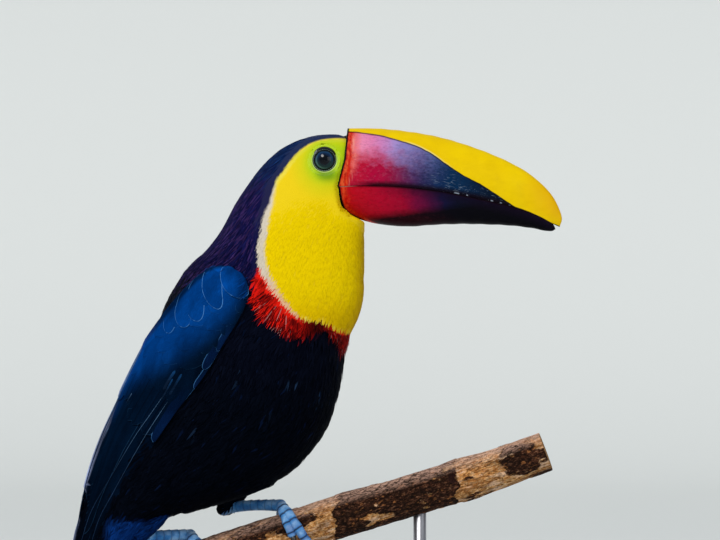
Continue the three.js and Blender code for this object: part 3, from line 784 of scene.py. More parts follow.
def dress_body():
    """Breast, belly, back, rump and thighs: larger loose feathers with frayed tips."""
    STRANDS = 6

    def density(p, n):
        out, red, _ = bib_zones(p)
        low = (p[:, 2] + 0.35 * p[:, 0] <= 322) | (red > 0)
        shin = (p[:, 2] < 214) & (p[:, 0] > -50)
        return np.where((out > np.maximum(red - 7.5, -0.5)) & low & ~bare(p, n), 0.12 + 0.12 * shin, 0)

    def color_of(q, jitter):
        color = mix(plumage(q, jitter), srgb("#08142c"), 0.8 * odds(q, 0.02))
        wisp = np.zeros(len(q))
        for x, z in WISPS:
            wisp = np.maximum(wisp, step(5.5, 2.0, np.hypot(q[:, 0] - x, (q[:, 2] - z) * 0.7)))
        return mix(color, srgb("#1a2c44"), wisp * odds(q, 0.09))
    p, n = scatter(density)
    size = 1 - 0.5 * step(214, 190, p[:, 2]) * step(-95, -40, p[:, 0])
    long = 18 * size * rng.uniform(0.8, 1.15, len(p))
    wide = 8.0 * size * rng.uniform(0.85, 1.15, len(p))
    q, lengths, yaw = strands(p, n, STRANDS, wide, long, 0.3)
    lifts = np.repeat(rng.uniform(1.0, 2.2, len(p)), STRANDS) + rng.normal(0, 0.15, len(q))
    widths = np.repeat(wide, STRANDS) * 0.28 * rng.uniform(0.85, 1.1, len(q))
    part = (q[:, 1] > 0) + 2 * (q[:, 2] <= 262) + 2 * (q[:, 2] < 212)
    coats(("breast_right", "breast_left", "belly_right", "belly_left", "vent_right", "vent_left"),
          part, q, lengths,
          widths, lifts, yaw, material=BLACK_COAT, segments=4, shade=0.22, color_of=color_of)


def dress_band():
    """The red band: combed, clumped strands that fray over the breast's first black feathers."""
    STRANDS = 8

    def density(p, n):
        out, red, _ = bib_zones(p)
        return np.where((red > 0) & (out > -2.5) & (out < red - 3.5) & ~bare(p, n), 0.20, 0)

    def color_of(q, jitter):
        out, red, angle = bib_zones(q)
        color = RED * dark[:, None]
        far = np.clip(out / np.maximum(red, 1), 0, 1.3)
        color = mix(color, srgb("#34040c"), 0.88 * step(0.45, 1.0, far) * odds(q, 0.62))
        color = mix(color, MAROON, maroon_share(angle))
        # A few pale pink strands near the outer edge are painted highlights.
        return mix(color, PINK_HIGHLIGHT, 0.8 * odds(q, 0.03) * (far > 0.55))
    p, n = scatter(density)
    out, red, _ = bib_zones(p)
    long = (np.clip(red - out, 3, 14) + 1.0) * rng.uniform(0.62, 1.3, len(p))
    q, lengths, yaw = strands(p, n, STRANDS, np.full(len(p), 3.2), long, 0.16)
    lengths = lengths * rng.uniform(0.8, 1.12, len(q))
    lean = np.repeat(rng.normal(0.05, 0.2, len(p)), STRANDS)
    lifts = np.repeat(rng.uniform(0.7, 2.4, len(p)), STRANDS) + rng.normal(0, 0.25, len(q))
    dark = np.repeat(np.clip(rng.normal(0.96, 0.3, len(p)), 0.2, 1.3), STRANDS)
    coat("coat_band", q, lengths, 0.58 * rng.uniform(0.7, 1.3, len(q)), lifts, yaw + lean,
         RED_COAT, "plumage_yellow",
         segments=4, color_of=color_of, sample_at=1.0, base=0.55)


shown(make_mesh("skin", skin_verts, skin_faces, skin_material(), plumage(skin_verts) * 0.85,
                uv=unwrap(skin_verts)), "plumage_black", *FLESH)
dress_bib()
dress_nape()
dress_body()
dress_band()


# ------------------------------------------------------------------ wing feathers
def wing_chart(side):
    """The wing's outer surface as a grid: along it, and across it from its lower edge to its upper one."""
    tree = bvh_of(*read_nodes(["wing_left" if side > 0 else "wing_right"]))
    rows, columns = 110, 48
    top, low = (spline(edge)(np.linspace(0, 1, rows)) for edge in zip(*WING))
    keys = np.arange(columns)
    chart = np.full((rows, columns, 3), np.nan)
    for i in range(rows):
        for j, v in enumerate(np.linspace(0.015, 0.985, columns)):
            hit, _ = from_side(tree, *(low[i] * (1 - v) + top[i] * v), side)
            if hit is not None:
                chart[i, j] = hit
        good = ~np.isnan(chart[i, :, 0])
        if good.sum() > 3:
            filled = np.stack([np.interp(keys, keys[good], chart[i, good, c]) for c in range(3)], 1)
            run = run_of(filled)
            even = np.linspace(0, run[-1], columns)
            chart[i] = np.stack([np.interp(even, run, filled[:, c]) for c in range(3)], 1)
    empty = np.isnan(chart[:, 0, 0])
    whole = np.nonzero(~empty)[0]
    for i in np.nonzero(empty)[0]:
        chart[i] = chart[whole[np.argmin(np.abs(whole - i))]]
    for _ in range(3):
        chart[1:-1] = (chart[:-2] + 2 * chart[1:-1] + chart[2:]) / 4
    normal = unit(np.cross(np.gradient(chart, axis=0), np.gradient(chart, axis=1)))
    normal = normal * np.sign((normal[..., 1:2] * side).sum())
    return chart, normal, run_of(chart[:, columns // 2])


def chart_at(chart, normal, run, along, across):
    """Points and normals of the wing's surface at millimetres along it and a share across it."""
    i = np.interp(along, run, np.arange(len(run)))
    j = np.clip(across, 0, 1) * (chart.shape[1] - 1)
    i0 = np.minimum(i.astype(int), chart.shape[0] - 2)
    j0 = np.minimum(j.astype(int), chart.shape[1] - 2)
    a, b = (i - i0)[..., None], (j - j0)[..., None]

    def pick(grid):
        return ((grid[i0, j0] * (1 - b) + grid[i0, j0 + 1] * b) * (1 - a)
                + (grid[i0 + 1, j0] * (1 - b) + grid[i0 + 1, j0 + 1] * b) * a)
    return pick(chart), unit(pick(normal))


# The blue over the shoulder and the violet by the upper edge are painted sheen.
COVERT_BLUE_SHEEN = srgb("#03408a")
COVERT_NAVY = srgb("#031429")
QUILL_BLACK = srgb("#03070f")
VIOLET_SHEEN = srgb("#2a3a70")
RIM_HIGHLIGHT = srgb("#4d88c4")
# Feathers that stand out on the closed wing: root and tip in side view, width, height of the tip, roundness
# of the tip, strength of the pale edge, which is a painted highlight. The later ones lie over the earlier
# ones.
EDGE_FEATHERS = [((-38.0, 281.0), (-68.0, 237.0), 7.6, 0.75, 0.16, 0.5),
                 ((-29.5, 287.0), (-42.0, 270.5), 5.5, 0.85, 0.3, 0.4),
                 ((-22.0, 303.5), (-36.5, 280.5), 6.0, 0.95, 0.3, 0.4),
                 ((-15.5, 315.0), (-27.5, 293.5), 5.5, 1.05, 0.3, 0.35)]
SCALES = [((-53.5, 322.6), (-59.0, 302.8), 12.0, 0.95, 0.42, 0.75),
          ((-45.3, 329.2), (-49.3, 306.9), 15.0, 1.05, 0.42, 0.7),
          ((-38.8, 335.4), (-41.2, 311.6), 15.5, 1.15, 0.40, 0.85),
          ((-29.5, 341.0), (-30.0, 317.8), 17.0, 1.25, 0.42, 0.95),
          ((-17.5, 342.0), (-19.6, 326.0), 22.0, 1.35, 0.6, 0.75)]
# Pale shafts and feather edges in side view, painted as highlights and rim light: points, width, strength.
QUILLS = [([(-61.4, 264.7), (-69.9, 252.8), (-78.4, 240.8), (-92.6, 217.3), (-106.7, 192.9), (-112.6, 175.5)],
           0.32, 0.7),
          ([(-58.2, 262.0), (-71.3, 242.2), (-79.8, 228.0), (-92.6, 205.3), (-101.1, 189.5), (-105.6, 176.0)],
           0.32, 0.9),
          ([(-76.0, 293.0), (-84.0, 277.5), (-92.7, 258.3), (-101.2, 239.2), (-108.2, 219.5), (-113.2, 199.6),
            (-117.0, 178.5)], 0.6, 0.8),
          ([(-96.5, 245.0), (-99.0, 240.0), (-102.5, 231.0)], 0.4, 0.8),
          ([(-81.0, 266.5), (-82.8, 263.5), (-84.5, 260.5)], 0.4, 0.6),
          ([(-53.5, 281.0), (-57.5, 275.0), (-61.0, 269.0)], 1.6, 0.3),
          ([(-49.5, 279.0), (-53.0, 273.0), (-57.0, 266.0)], 1.4, 0.24),
          ([(-55.0, 276.0), (-58.0, 270.5), (-61.5, 264.0)], 1.0, 0.3)]
FAR_OFF = 9.0            # the distance to an edge or shaft that a feather doesn't have


def wing_material():
    m = Nodes("wing_coat", Roughness=0.55, Specular_IOR_Level=0.0)
    uv = m.node("UVMap", uv_map="Vane").outputs[0]
    lines = m.noise(1.0, 2.0, (4, 70, 1), uv)
    color = m.blend(m.times(lines, 0.5), m.attribute("Col", "Color"), 0.0)
    streaks = m.ramp(m.noise(1.0, 3.0, (2.2, 20, 1), uv), (0.48, 0.0), (0.74, 0.5))
    color = m.blend(streaks, color, 2.2, "MULTIPLY")
    strokes = m.noise(75, 3.0, (1, 1, 0.55), turn=-25)
    color = m.blend(m.ramp(strokes, (0.52, 0.0), (0.70, 0.55)), color, 1.9, "MULTIPLY")
    color = m.blend(m.ramp(strokes, (0.32, 0.55), (0.47, 0.0)), color, 0.4, "MULTIPLY")
    # A pale edge, a fraction of a millimetre wide, broken here and there, painted as a highlight, and a dark
    # shaft.
    edge = m.math("DIVIDE", m.attribute("Edge"), 1.2, True)
    thin = m.ramp(m.plus(edge, m.times(lines, 0.15)), (0.18, 1.0), (0.52, 0.0))
    broken = m.ramp(m.noise(300, 2.0), (0.34, 0.3), (0.5, 1.0))
    color = m.blend(m.times(thin, broken, m.attribute("Rim")), color, RIM_HIGHLIGHT)
    shaft = m.ramp(m.attribute("Shaft"), (0.0, 1.0), (0.5, 0.0))
    color = m.blend(m.times(shaft, 0.7), color, "#02040a")
    return m.done(color, None, m.bump(m.minus(lines, m.times(shaft, -0.6)), 0.35, 0.0004))


WING_COAT = wing_material()


def wing_color(p, along, share, total):
    """Painted blue sheen over the shoulder down to a slanting line, then navy quills, painted violet and
    lavender sheen along the upper edge.
    """
    x, z = p[..., 0], p[..., 2]
    line = np.interp(x, (-93, -84, -51, -26, -18, -8), (250, 266, 284, 303, 312, 330))
    blue = step(-5, 24, z - line) * (1 - 0.85 * step(0.84, 0.93, share) * step(75, 50, along))
    color = mix(QUILL_BLACK, COVERT_NAVY, step(230, 110, along))
    color = mix(color, COVERT_BLUE_SHEEN, blue)
    color = mix(color, VIOLET_SHEEN,
                0.5 * step(0.84, 0.97, share) * step(45, 70, along) * step(140, 90, along))
    # A painted lavender rim light along the upper edge.
    lavender = step(0.945, 0.978, share) * step(62, 90, along) * step(total - 12, total - 50, along)
    return mix(color, srgb("#98a4cc"), 0.75 * lavender)


def chart_place(chart, run, spot):
    """How far along the wing a place in side view is, and its share across."""
    i, j = np.unravel_index(np.argmin(np.hypot(chart[..., 0] - spot[0], chart[..., 2] - spot[1])),
                            chart.shape[:2])
    return run[i], j / (chart.shape[1] - 1)


def wing_rows(chart, run, local):
    """Every feather from the bottom layer up: where it starts, its place across the wing at its start and
    tip, its length and width, the heights of its start and tip, how long its rounded tip is, the strength
    of its pale edge, and how far its lower side is tipped up over its neighbour."""
    rows, total = [], run[-1]
    for k in range(9):       # primaries, the outermost lowest
        rows.append((86 + 2 * k, 0.06 + 0.07 * k, 0.20 + 0.075 * k, total - 87 - 2 * k - 3.2 * k, 13.5,
                     (-1.5 + 0.05 * k, -0.7 + 0.09 * k), 0.10, 0.15, 0.35))
    for k in range(8):       # secondaries and tertials, which close over them from the back's side
        rows.append((66 + 2 * k, 0.42 + 0.075 * k, 0.40 + 0.082 * k,
                     128 - 5.0 * k + local.uniform(-2, 2), 14.5,
                     (-1.0, 0.10 + 0.06 * k), 0.12, 0.12, 0.30))
    for k in range(9):       # greater coverts
        f = k / 8
        rows.append((50 + local.uniform(-2, 2), 0.16 + 0.78 * f, 0.16 + 0.76 * f,
                     66 - 8 * f + local.uniform(-4, 4),
                     15.5, (-0.5, 0.60), 0.22, 0.12, 0.2))
    for row in range(6):     # median and lesser coverts, the lowest row first
        count = (5, 5, 4, 4, 4, 3)[row]
        tip = 90 - 14.5 * row
        for k in range(count):
            f = (k + 0.5 * (row % 2) + 0.12) / (count - 0.25)
            length = 38 - 2 * row + local.uniform(-2, 2)
            rows.append((tip - length + local.uniform(-5, 5), 0.12 + 0.82 * f, 0.12 + 0.80 * f, length,
                         20 - 0.6 * row, (-0.2, 0.55 + 0.05 * row), 0.36, local.uniform(0.0, 0.16), 0.06))
    for k in range(5):       # marginal coverts round the bend of the wing
        rows.append((-6 + 9.5 * k, 0.05, 0.06 + local.uniform(-0.01, 0.01),
                     20, 8, (-0.2, 0.9), 0.3, 0.1, 0.1))
    for root, tip, width, height, roundness, rim in EDGE_FEATHERS + SCALES:
        (start, place), (end, end_place) = chart_place(chart, run, root), chart_place(chart, run, tip)
        rows.append((start, place, end_place, end - start, width,
                     (height - 0.45, height), roundness, rim, 0.0))
    return rows


def feather_width(s, width, tip):
    """Half the width of a feather along it: narrow at its root, with a round tip."""
    rounded = np.clip((1 - s) / tip, 0, 1)
    return np.maximum(width / 2 * np.sqrt(1 - (1 - rounded) ** 2) * (0.7 + 0.3 * step(0, 0.3, s)), 0.05)


def wing_feathers(side):
    """All feathers of one wing, as one pile of grids."""
    CELLS = 9            # feathers along each side of the unwrap
    s = np.concatenate([np.linspace(0, 0.6, 9)[:-1], np.linspace(0.6, 1, 15)])
    across, along_share = np.meshgrid(np.linspace(-1, 1, 9), s)
    chart, normal, run = wing_chart(side)
    total = run[-1]
    arc = np.linalg.norm(np.diff(chart, axis=1), axis=2).sum(1)
    feathers = wing_rows(chart, run, np.random.default_rng(5))
    first_scale = len(feathers) - len(SCALES)
    first_edge = first_scale - len(EDGE_FEATHERS)
    pile = Pile()
    for cell, (start, place, end_place, length, width, height, tip, rim, tilt) in enumerate(feathers):
        along = np.clip(start + s * length, 0.0, total - 0.4)
        reach = np.interp(along, run, arc)
        half = np.minimum(feather_width(s, width, tip), np.maximum(0.65 * reach, 0.1))
        share = (place + (end_place - place) * s)[:, None] + across * (half / np.maximum(reach, 3))[:, None]
        over = np.clip(-share, 0, 1) + np.clip(share - 1, 0, 1)
        share = np.clip(share, 0.0, 1.0)
        along = np.broadcast_to(along[:, None], share.shape)
        spot, up = chart_at(chart, normal, run, along, share)
        lift = (height[0] + (height[1] - height[0]) * s)[:, None] + 0.45 * (1 - across ** 2)
        verts = spot + up * (lift - tilt * across - 2.0 * over)[..., None]
        tone = (wing_color(verts, along, share, total) * rng.uniform(0.85, 1.15)
                * (0.8 + 0.2 * s[:, None, None]))
        if first_edge <= cell < first_scale:
            tone = mix(tone, srgb("#0a2250"), 0.4 * step(0.15, 0.7, along_share))
        from_edge = (1 - np.abs(across)) * half[:, None]
        corner = np.array([cell % CELLS, cell // CELLS])
        in_cell = np.stack([0.06 + 0.44 * (across + 1), 0.06 + 0.88 * along_share], -1)
        pile.add(verts, color=tone, rim=rim * step(0.0, 0.35, along_share), uv=(corner + in_cell) / CELLS,
                 edge=np.minimum(from_edge, ((1 - s) * length)[:, None]),
                 shaft=np.abs(across) * half[:, None] + (0.0 if length > 50 else FAR_OFF),
                 vane=np.stack([across * width / 10,
                                along_share * length / 10 + np.abs(across) * width / 14], -1))
    return pile


def quill_line(tree, points, width, side):
    """Three lines along a thin raised ridge on a surface: its two edges and its crest."""
    ROWS = 60
    line = by_length(spline(points))(np.linspace(0, 1, ROWS))
    ahead = unit(np.gradient(line, axis=0))
    half = width / 2 * np.sqrt(np.clip(np.sin(np.linspace(0.02, math.pi - 0.02, ROWS)) * 3, 0, 1))
    off = np.stack([-ahead[:, 1], ahead[:, 0]], 1) * half[:, None]
    lines = []
    for share, rise in ((-1, 0.08), (0, 0.34), (1, 0.08)):
        flat = line + off * share
        on = np.full((ROWS, 6), np.nan)
        for i, (x, z) in enumerate(flat):
            place, normal = from_side(tree, x, z, side)
            if place is not None:
                on[i] = (*place, *(normal * (1 if normal[1] * side > 0 else -1)))
        good = ~np.isnan(on[:, 1])
        for k in range(6):
            on[:, k] = np.interp(np.arange(ROWS), np.nonzero(good)[0], on[good, k])
        high = np.abs(on[:, 1])
        high[1:-1] = np.maximum(high[1:-1], np.maximum(high[:-2], high[2:]))
        for _ in range(3):
            high[1:-1] = (high[:-2] + 2 * high[1:-1] + high[2:]) / 4
            on[1:-1, 3:] = (on[:-2, 3:] + 2 * on[1:-1, 3:] + on[2:, 3:]) / 4
        lines.append(np.stack([flat[:, 0], side * high, flat[:, 1]], 1) + unit(on[:, 3:]) * rise)
    return np.stack(lines, 1)


def wing_quills(surface, side):
    """Pale shafts and feather edges, each a thin raised line on the closed wing, painted pale as highlights.
    """
    tree = bvh_of(*surface)
    pile = Pile()
    for points, width, strength in QUILLS:
        verts = quill_line(tree, points, width, side)
        # Each line is a painted highlight, brightest at its start and fading along it.
        pale = srgb("#587ba0") if width < 1 else srgb("#2a6cb4")
        tone = mix(pale, srgb("#223450"), step(0, 0.6, np.linspace(0, 1, len(verts))))
        tone = mix(COVERT_NAVY, tone, np.full(len(verts), strength))
        pile.add(verts, color=tone[:, None], rim=0.0, edge=FAR_OFF, shaft=FAR_OFF,
                 uv=verts[..., [0, 2]] / 500 + 0.5,
                 vane=verts[..., [0, 2]] / 20)
    return pile


def show_feathers(name, pile, side=None):
    """A piece in the wing's material from a pile, with its faces turned to one side."""
    floats = {key.title(): pile[key] for key in ("rim", "edge", "shaft")}
    faces = pile["faces"] if side is None else pile.faces_towards(side)
    return make_mesh(name, pile["points"], faces, WING_COAT, pile["color"], floats, pile["uv"], pile["vane"])


surfaces = []
for side, label in SIDES:
    pile = wing_feathers(side)
    shown(show_feathers("wing_feathers_" + label, pile, side), "plumage_wing")
    surfaces.append((pile["points"], pile["faces"]))
for (side, label), surface in zip(SIDES, surfaces):
    shown(show_feathers("wing_quills_" + label, wing_quills(surface, side), side), "plumage_wing")


def mantle():
    """Strands of the hind neck and shoulders that lie over the front of the folded wings."""
    def density(p, n):
        behind_bib = (p[:, 2] > 328) & (around_bib(p[:, 0], p[:, 2])[0] > 1.0)
        beside_wing = ~inside_wing(p, 0.5) & inside_wing(p, -10.0)
        return np.where(behind_bib & beside_wing & (p[:, 0] + 0.55 * (345 - p[:, 2]) < 10), 3.2, 0)

    def color_of(q, jitter):
        color = mix(NAPE * 0.9, BLACK, step(335, 318, q[:, 2]))
        # Painted sheen: purple on some strands, as on the nape, and the wing's painted blue sheen over the
        # wing.
        color = mix(color, srgb("#33254f"), 0.7 * odds(q, 0.3) * step(318, 335, q[:, 2]))
        return mix(color, COVERT_BLUE_SHEEN * 0.9, 0.85 * inside_wing(q, 0.0))
    p, n = scatter(density)
    # The strands lie on the skin and on the wings' feathers, but not on the skin under the wings.
    centre = skin_verts[skin_faces].mean(1)
    clear = ~(inside_wing(centre, 0.0) & (np.abs(centre[:, 1]) > 2))
    verts, faces, count = [skin_verts], [skin_faces[clear]], len(skin_verts)
    for more_verts, more_faces in surfaces:
        verts.append(more_verts)
        faces.append(more_faces + count)
        count += len(more_verts)
    over = bvh_of(np.vstack(verts), np.vstack(faces))
    MISSED = 99
    start = np.array([over.ray_cast(Vector(q + m * 12), Vector(-m))[0] or q + MISSED for q, m in zip(p, n)])
    p = start[np.linalg.norm(start - p, axis=1) < 9]
    long = rng.uniform(5, 12, len(p))
    coat("coat_mantle", p, long, rng.uniform(0.45, 0.9, len(p)), rng.uniform(0.6, 1.6, len(p)),
         rng.normal(0, 0.12, len(p)), NAPE_COAT, segments=5, shade=0.3, color_of=color_of, surface=over)


mantle()


# ------------------------------------------------------------------ tail
def tail():
    """Ten square-ended feathers, the middle pair uppermost."""
    root, tip = (np.array([x, 0, z]) for x, z in (TAIL_ROOT, TAIL_TIP))
    axis = unit(tip - root)
    length = np.linalg.norm(tip - root)
    up = np.array([axis[2], 0, -axis[0]])    # towards the back's side
    s = np.linspace(0, 1, 40)
    u, v = np.meshgrid(np.linspace(-1, 1, 9), s)
    end = np.sqrt(np.clip(1 - ((s - 0.93) / 0.07).clip(0, 1) ** 2, 0, 1))
    half = 12.0 * (0.55 + 0.45 * step(0, 0.45, s)) * np.maximum(end, 0.1)
    color = mix(QUILL_BLACK, COVERT_NAVY, np.full(u.shape, 0.35)) * (1 - 0.25 * np.abs(u)[..., None] ** 4)
    pile = Pile()
    for k in range(10):
        pair, sign = k // 2, 1 - 2 * (k % 2)
        height = 1.5 - 0.68 * pair + 0.12 * sign
        reach = length * (0.995 - 0.012 * pair ** 1.2)
        middle = root + axis * (s * reach)[:, None] + up * (height * (1 - 0.45 * s))[:, None]
        middle[:, 1] += sign * (3.5 * pair + (1.2 if pair == 0 else 0)) * (0.45 + 0.55 * s)
        arch = 0.88 * (1 - 0.5 * v) * (0.5 - u ** 2) + 0.05 * np.sin(v * 9 + k) + 0.35 * hump(u, 0, 0.09)
        verts = middle[:, None] + np.array([0, 1, 0]) * (half[:, None] * u)[..., None] + up * arch[..., None]
        pile.add(verts, color=color, rim=0.0, edge=5.0, shaft=np.abs(u) * 11,
                 uv=np.stack([0.1 * k + 0.005 + 0.045 * (u + 1), 0.01 + 0.98 * v], -1),
                 vane=np.stack([u * 1.2, v * 15 + np.abs(u) * 0.9], -1))
    obj = show_feathers("tail_feathers", pile)
    thick = obj.modifiers.new("thick", "SOLIDIFY")
    thick.thickness = 0.3 * MM
    thick.offset = 0
    shown(obj, "plumage_black", "tail")


tail()


# ------------------------------------------------------------------ bill
BILL = [dict(culmen=(36, 429.6), tomium=(30, 393.3), keel=(34, 381.5), half=19.4),
        dict(culmen=(51.4, 430.0), tomium=(46.0, 393.7), keel=(49.6, 376.8), half=18.7),
        dict(culmen=(71.3, 429.8), tomium=(65.1, 394.3), keel=(66.6, 371.4), half=17.6),
        dict(culmen=(89.9, 427.9), tomium=(84.5, 393.6), keel=(86.8, 369.2), half=16.2),
        dict(culmen=(108.5, 424.5), tomium=(103.0, 391.6), keel=(107.0, 370.3), half=14.6),
        dict(culmen=(127.1, 419.0), tomium=(120.0, 388.9), keel=(123.0, 370.7), half=12.7),
        dict(culmen=(145.2, 412.0), tomium=(136.0, 385.5), keel=(138.5, 370.4), half=10.7),
        dict(culmen=(160.0, 404.4), tomium=(150.0, 382.2), keel=(152.5, 369.7), half=8.7),
        dict(culmen=(172.0, 395.2), tomium=(162.0, 378.6), keel=(164.5, 368.3), half=6.7),
        dict(culmen=(180.3, 384.6), tomium=(172.0, 374.4), keel=(173.5, 366.6), half=4.6),
        dict(culmen=(184.1, 374.2), tomium=(178.6, 370.6), keel=(178.2, 366.3), half=2.4)]
BILL_TIP = dict(upper=(182.6, 368.8), lower=(180.2, 367.6))
# The border in side view between the yellow ridge and the dark side.
RIDGE_BORDER = [(44, 428.6), (55.8, 427.7), (65.1, 426.6), (74.4, 424.9), (83.7, 422.3), (89.9, 420.4),
                (96.1, 418.0), (102.3, 414.6), (108.5, 410.4), (114.7, 406.0), (122.8, 400.6), (133.3, 395.4),
                (143.7, 388.7), (149.9, 384.4), (155, 381.4), (164.3, 377.9), (170.5, 374.9), (177.8, 371.4),
                (184, 369)]


def bill_half(part, outer, sign, roundness, material):
    """One half of the bill, closed at the cutting edge. sign is 1 for the upper half, -1 for the lower."""
    COLUMNS = 61
    PITCH_HEIGHT = 401       # the height towards which the horn narrows under the feathers
    drop = 0.1 * sign
    tip = BILL_TIP[part]
    # Rows lie closest where the horn goes under the face's feathers.
    t = np.sort(np.concatenate([np.linspace(0, 1, 150) ** 0.9, np.linspace(0.021, 0.131, 90)]))
    edge = spline([(*s["tomium"], s["half"]) for s in BILL] + [(*tip, 0.5)])(t)
    top = spline([s[outer] for s in BILL] + [tip])(t)
    top[-1, 1] += sign * 0.4
    angle = np.linspace(0, math.pi, COLUMNS)
    rise = np.sin(angle) ** (2 / roundness)
    width = np.sign(np.cos(angle)) * np.abs(np.cos(angle)) ** (2 / roundness)
    x = edge[:, :1] + (top[:, :1] - edge[:, :1]) * rise[None]
    z = edge[:, 1:2] + drop + (top[:, 1:2] - edge[:, 1:2] - drop) * rise[None]
    y = edge[:, 2:] * (0.96 if sign < 0 else 1.0) * width[None]
    # Behind the face's edge the horn steps in and goes under the feathers.
    first = np.where((x < seat_of(z) - 4).all(1))[0][-1]
    x, y, z, edge = x[first:], y[first:], z[first:], edge[first:]
    lip = sign * (z - edge[:, 1:2])
    seat = seat_of(z)
    depth = np.clip(seat - x, 0, 4)
    x = np.maximum(x, seat - 4.0)
    y = y * (1 - 0.05 * step(0.2, 1.0, depth) - 0.025 * depth)
    z = PITCH_HEIGHT + (z - PITCH_HEIGHT) * (1 - 0.14 * step(0.05, 0.7, depth) - 0.01 * depth)
    verts = np.stack([x, y, z], -1).reshape(-1, 3)
    ridge = verts[:, 2] - np.interp(verts[:, 0], *zip(*RIDGE_BORDER))
    from_face = (x - seat).ravel()
    # Low, soft growth ridges along the horn.
    faces = grid_faces(len(x), COLUMNS)
    normal = normals_of(verts, faces)
    normal *= np.sign((normal[:, 1] * verts[:, 1]).sum())
    ripple = 0.10 * np.sin(verts[:, 0] * 0.55 + 2.0 * np.sin(verts[:, 2] * 0.11)) * step(8, 30, from_face)
    verts = verts + normal * ripple[:, None]
    # Close the cutting edge with a flat floor, so that the horn is one solid form.
    left = np.arange(len(x)) * COLUMNS
    right = left + COLUMNS - 1
    faces = np.vstack([faces, np.stack([left[:-1], left[1:], right[1:], right[:-1]], 1)])
    obj = make_mesh(f"bill_{part}_horn", verts, faces, material, floats={
        "Ridge": ridge, "Ahead": from_face, "Lip": lip.ravel(), "Up": verts[:, 2], "Along": verts[:, 0]})
    obj.data.validate()
    close_holes(obj, crease=0.9)
    shown(obj, "horn_" + part, "bill_" + part)


class Horn(Nodes):
    """The horn of one half of the bill: its places, its noises, and what both halves share."""

    def __init__(self, name):
        super().__init__(name, Roughness=0.42, Specular_IOR_Level=0.04,
                         Coat_Weight=0.015, Coat_Roughness=0.15)
        self.ahead, self.up, self.lip = (self.attribute(key) for key in ("Ahead", "Up", "Lip"))
        self.broad = self.minus(self.noise(34, 2.0), 0.5)
        self.mottle = self.minus(self.noise(170, 4.0, (0.7, 1, 1)), 0.5)
        self.fine = self.noise(900, 4.0, (0.5, 1, 1))

    def along(self, *stops):
        """Colours at millimetres ahead of the face, their borders blurred by noise."""
        REACH = 140
        blur = self.plus(self.times(self.broad, 8.0), self.times(self.mottle, 7.0))
        place = self.math("DIVIDE", self.plus(self.ahead, blur), REACH, True)
        return self.ramp(place, *((mm / REACH, color) for mm, color in stops))

    def fibres(self, color, pale, height):
        """Fine fibres along the growth of the horn, with a worn bloom over the warm part."""
        color = self.blend(self.ramp(self.fine, (0.34, 0.20), (0.52, 0.0)), color, 0.0)
        bloom = self.ramp(self.noise(560, 6.0, (0.8, 1, 1), rough=0.65), (0.50, 0.0), (0.80, 0.24))
        bloom = self.times(bloom, self.within(self.ahead, 62, 42), self.within(self.ahead, 2, 9), height)
        return self.blend(bloom, color, pale)

    def base_band(self, color, edge, strength):
        """The orange-red band at the base, streaked downwards. Also gives its border and its flecks."""
        wave = self.plus(self.ahead, self.times(self.mottle, 4.0))
        band = self.math("DIVIDE", self.minus(self.plus(edge, 1.2), wave), 2.6, True)
        flecks = self.ramp(self.noise(380, 4.0, (1.6, 1, 0.35)), (0.44, 0.0), (0.66, strength))
        orange = self.blend(flecks, "#c01604", "#e06432")
        dark = self.ramp(self.noise(700, 4.0, (1, 1, 0.6)), (0.36, 0.7), (0.5, 0.0))
        return self.blend(self.times(band, 0.95), color, self.blend(dark, orange, "#8e0603")), wave, flecks

    def finish(self, color, line_width):
        """A black line at the face, and the horn's relief and gloss."""
        line = self.plus(self.ahead, self.times(self.mottle, 0.8))
        color = self.blend(self.within(line, line_width + 0.7, line_width), color, "#030203")
        normal = self.bump(self.noise(90, 3.0, (0.5, 1, 1.4)), 0.15, 0.0012)
        rough = self.ramp(self.noise(120, 3.0), (0.3, 0.32), (0.7, 0.5))
        return self.done(color, rough, self.bump(self.fine, 0.12, 0.0004, normal))


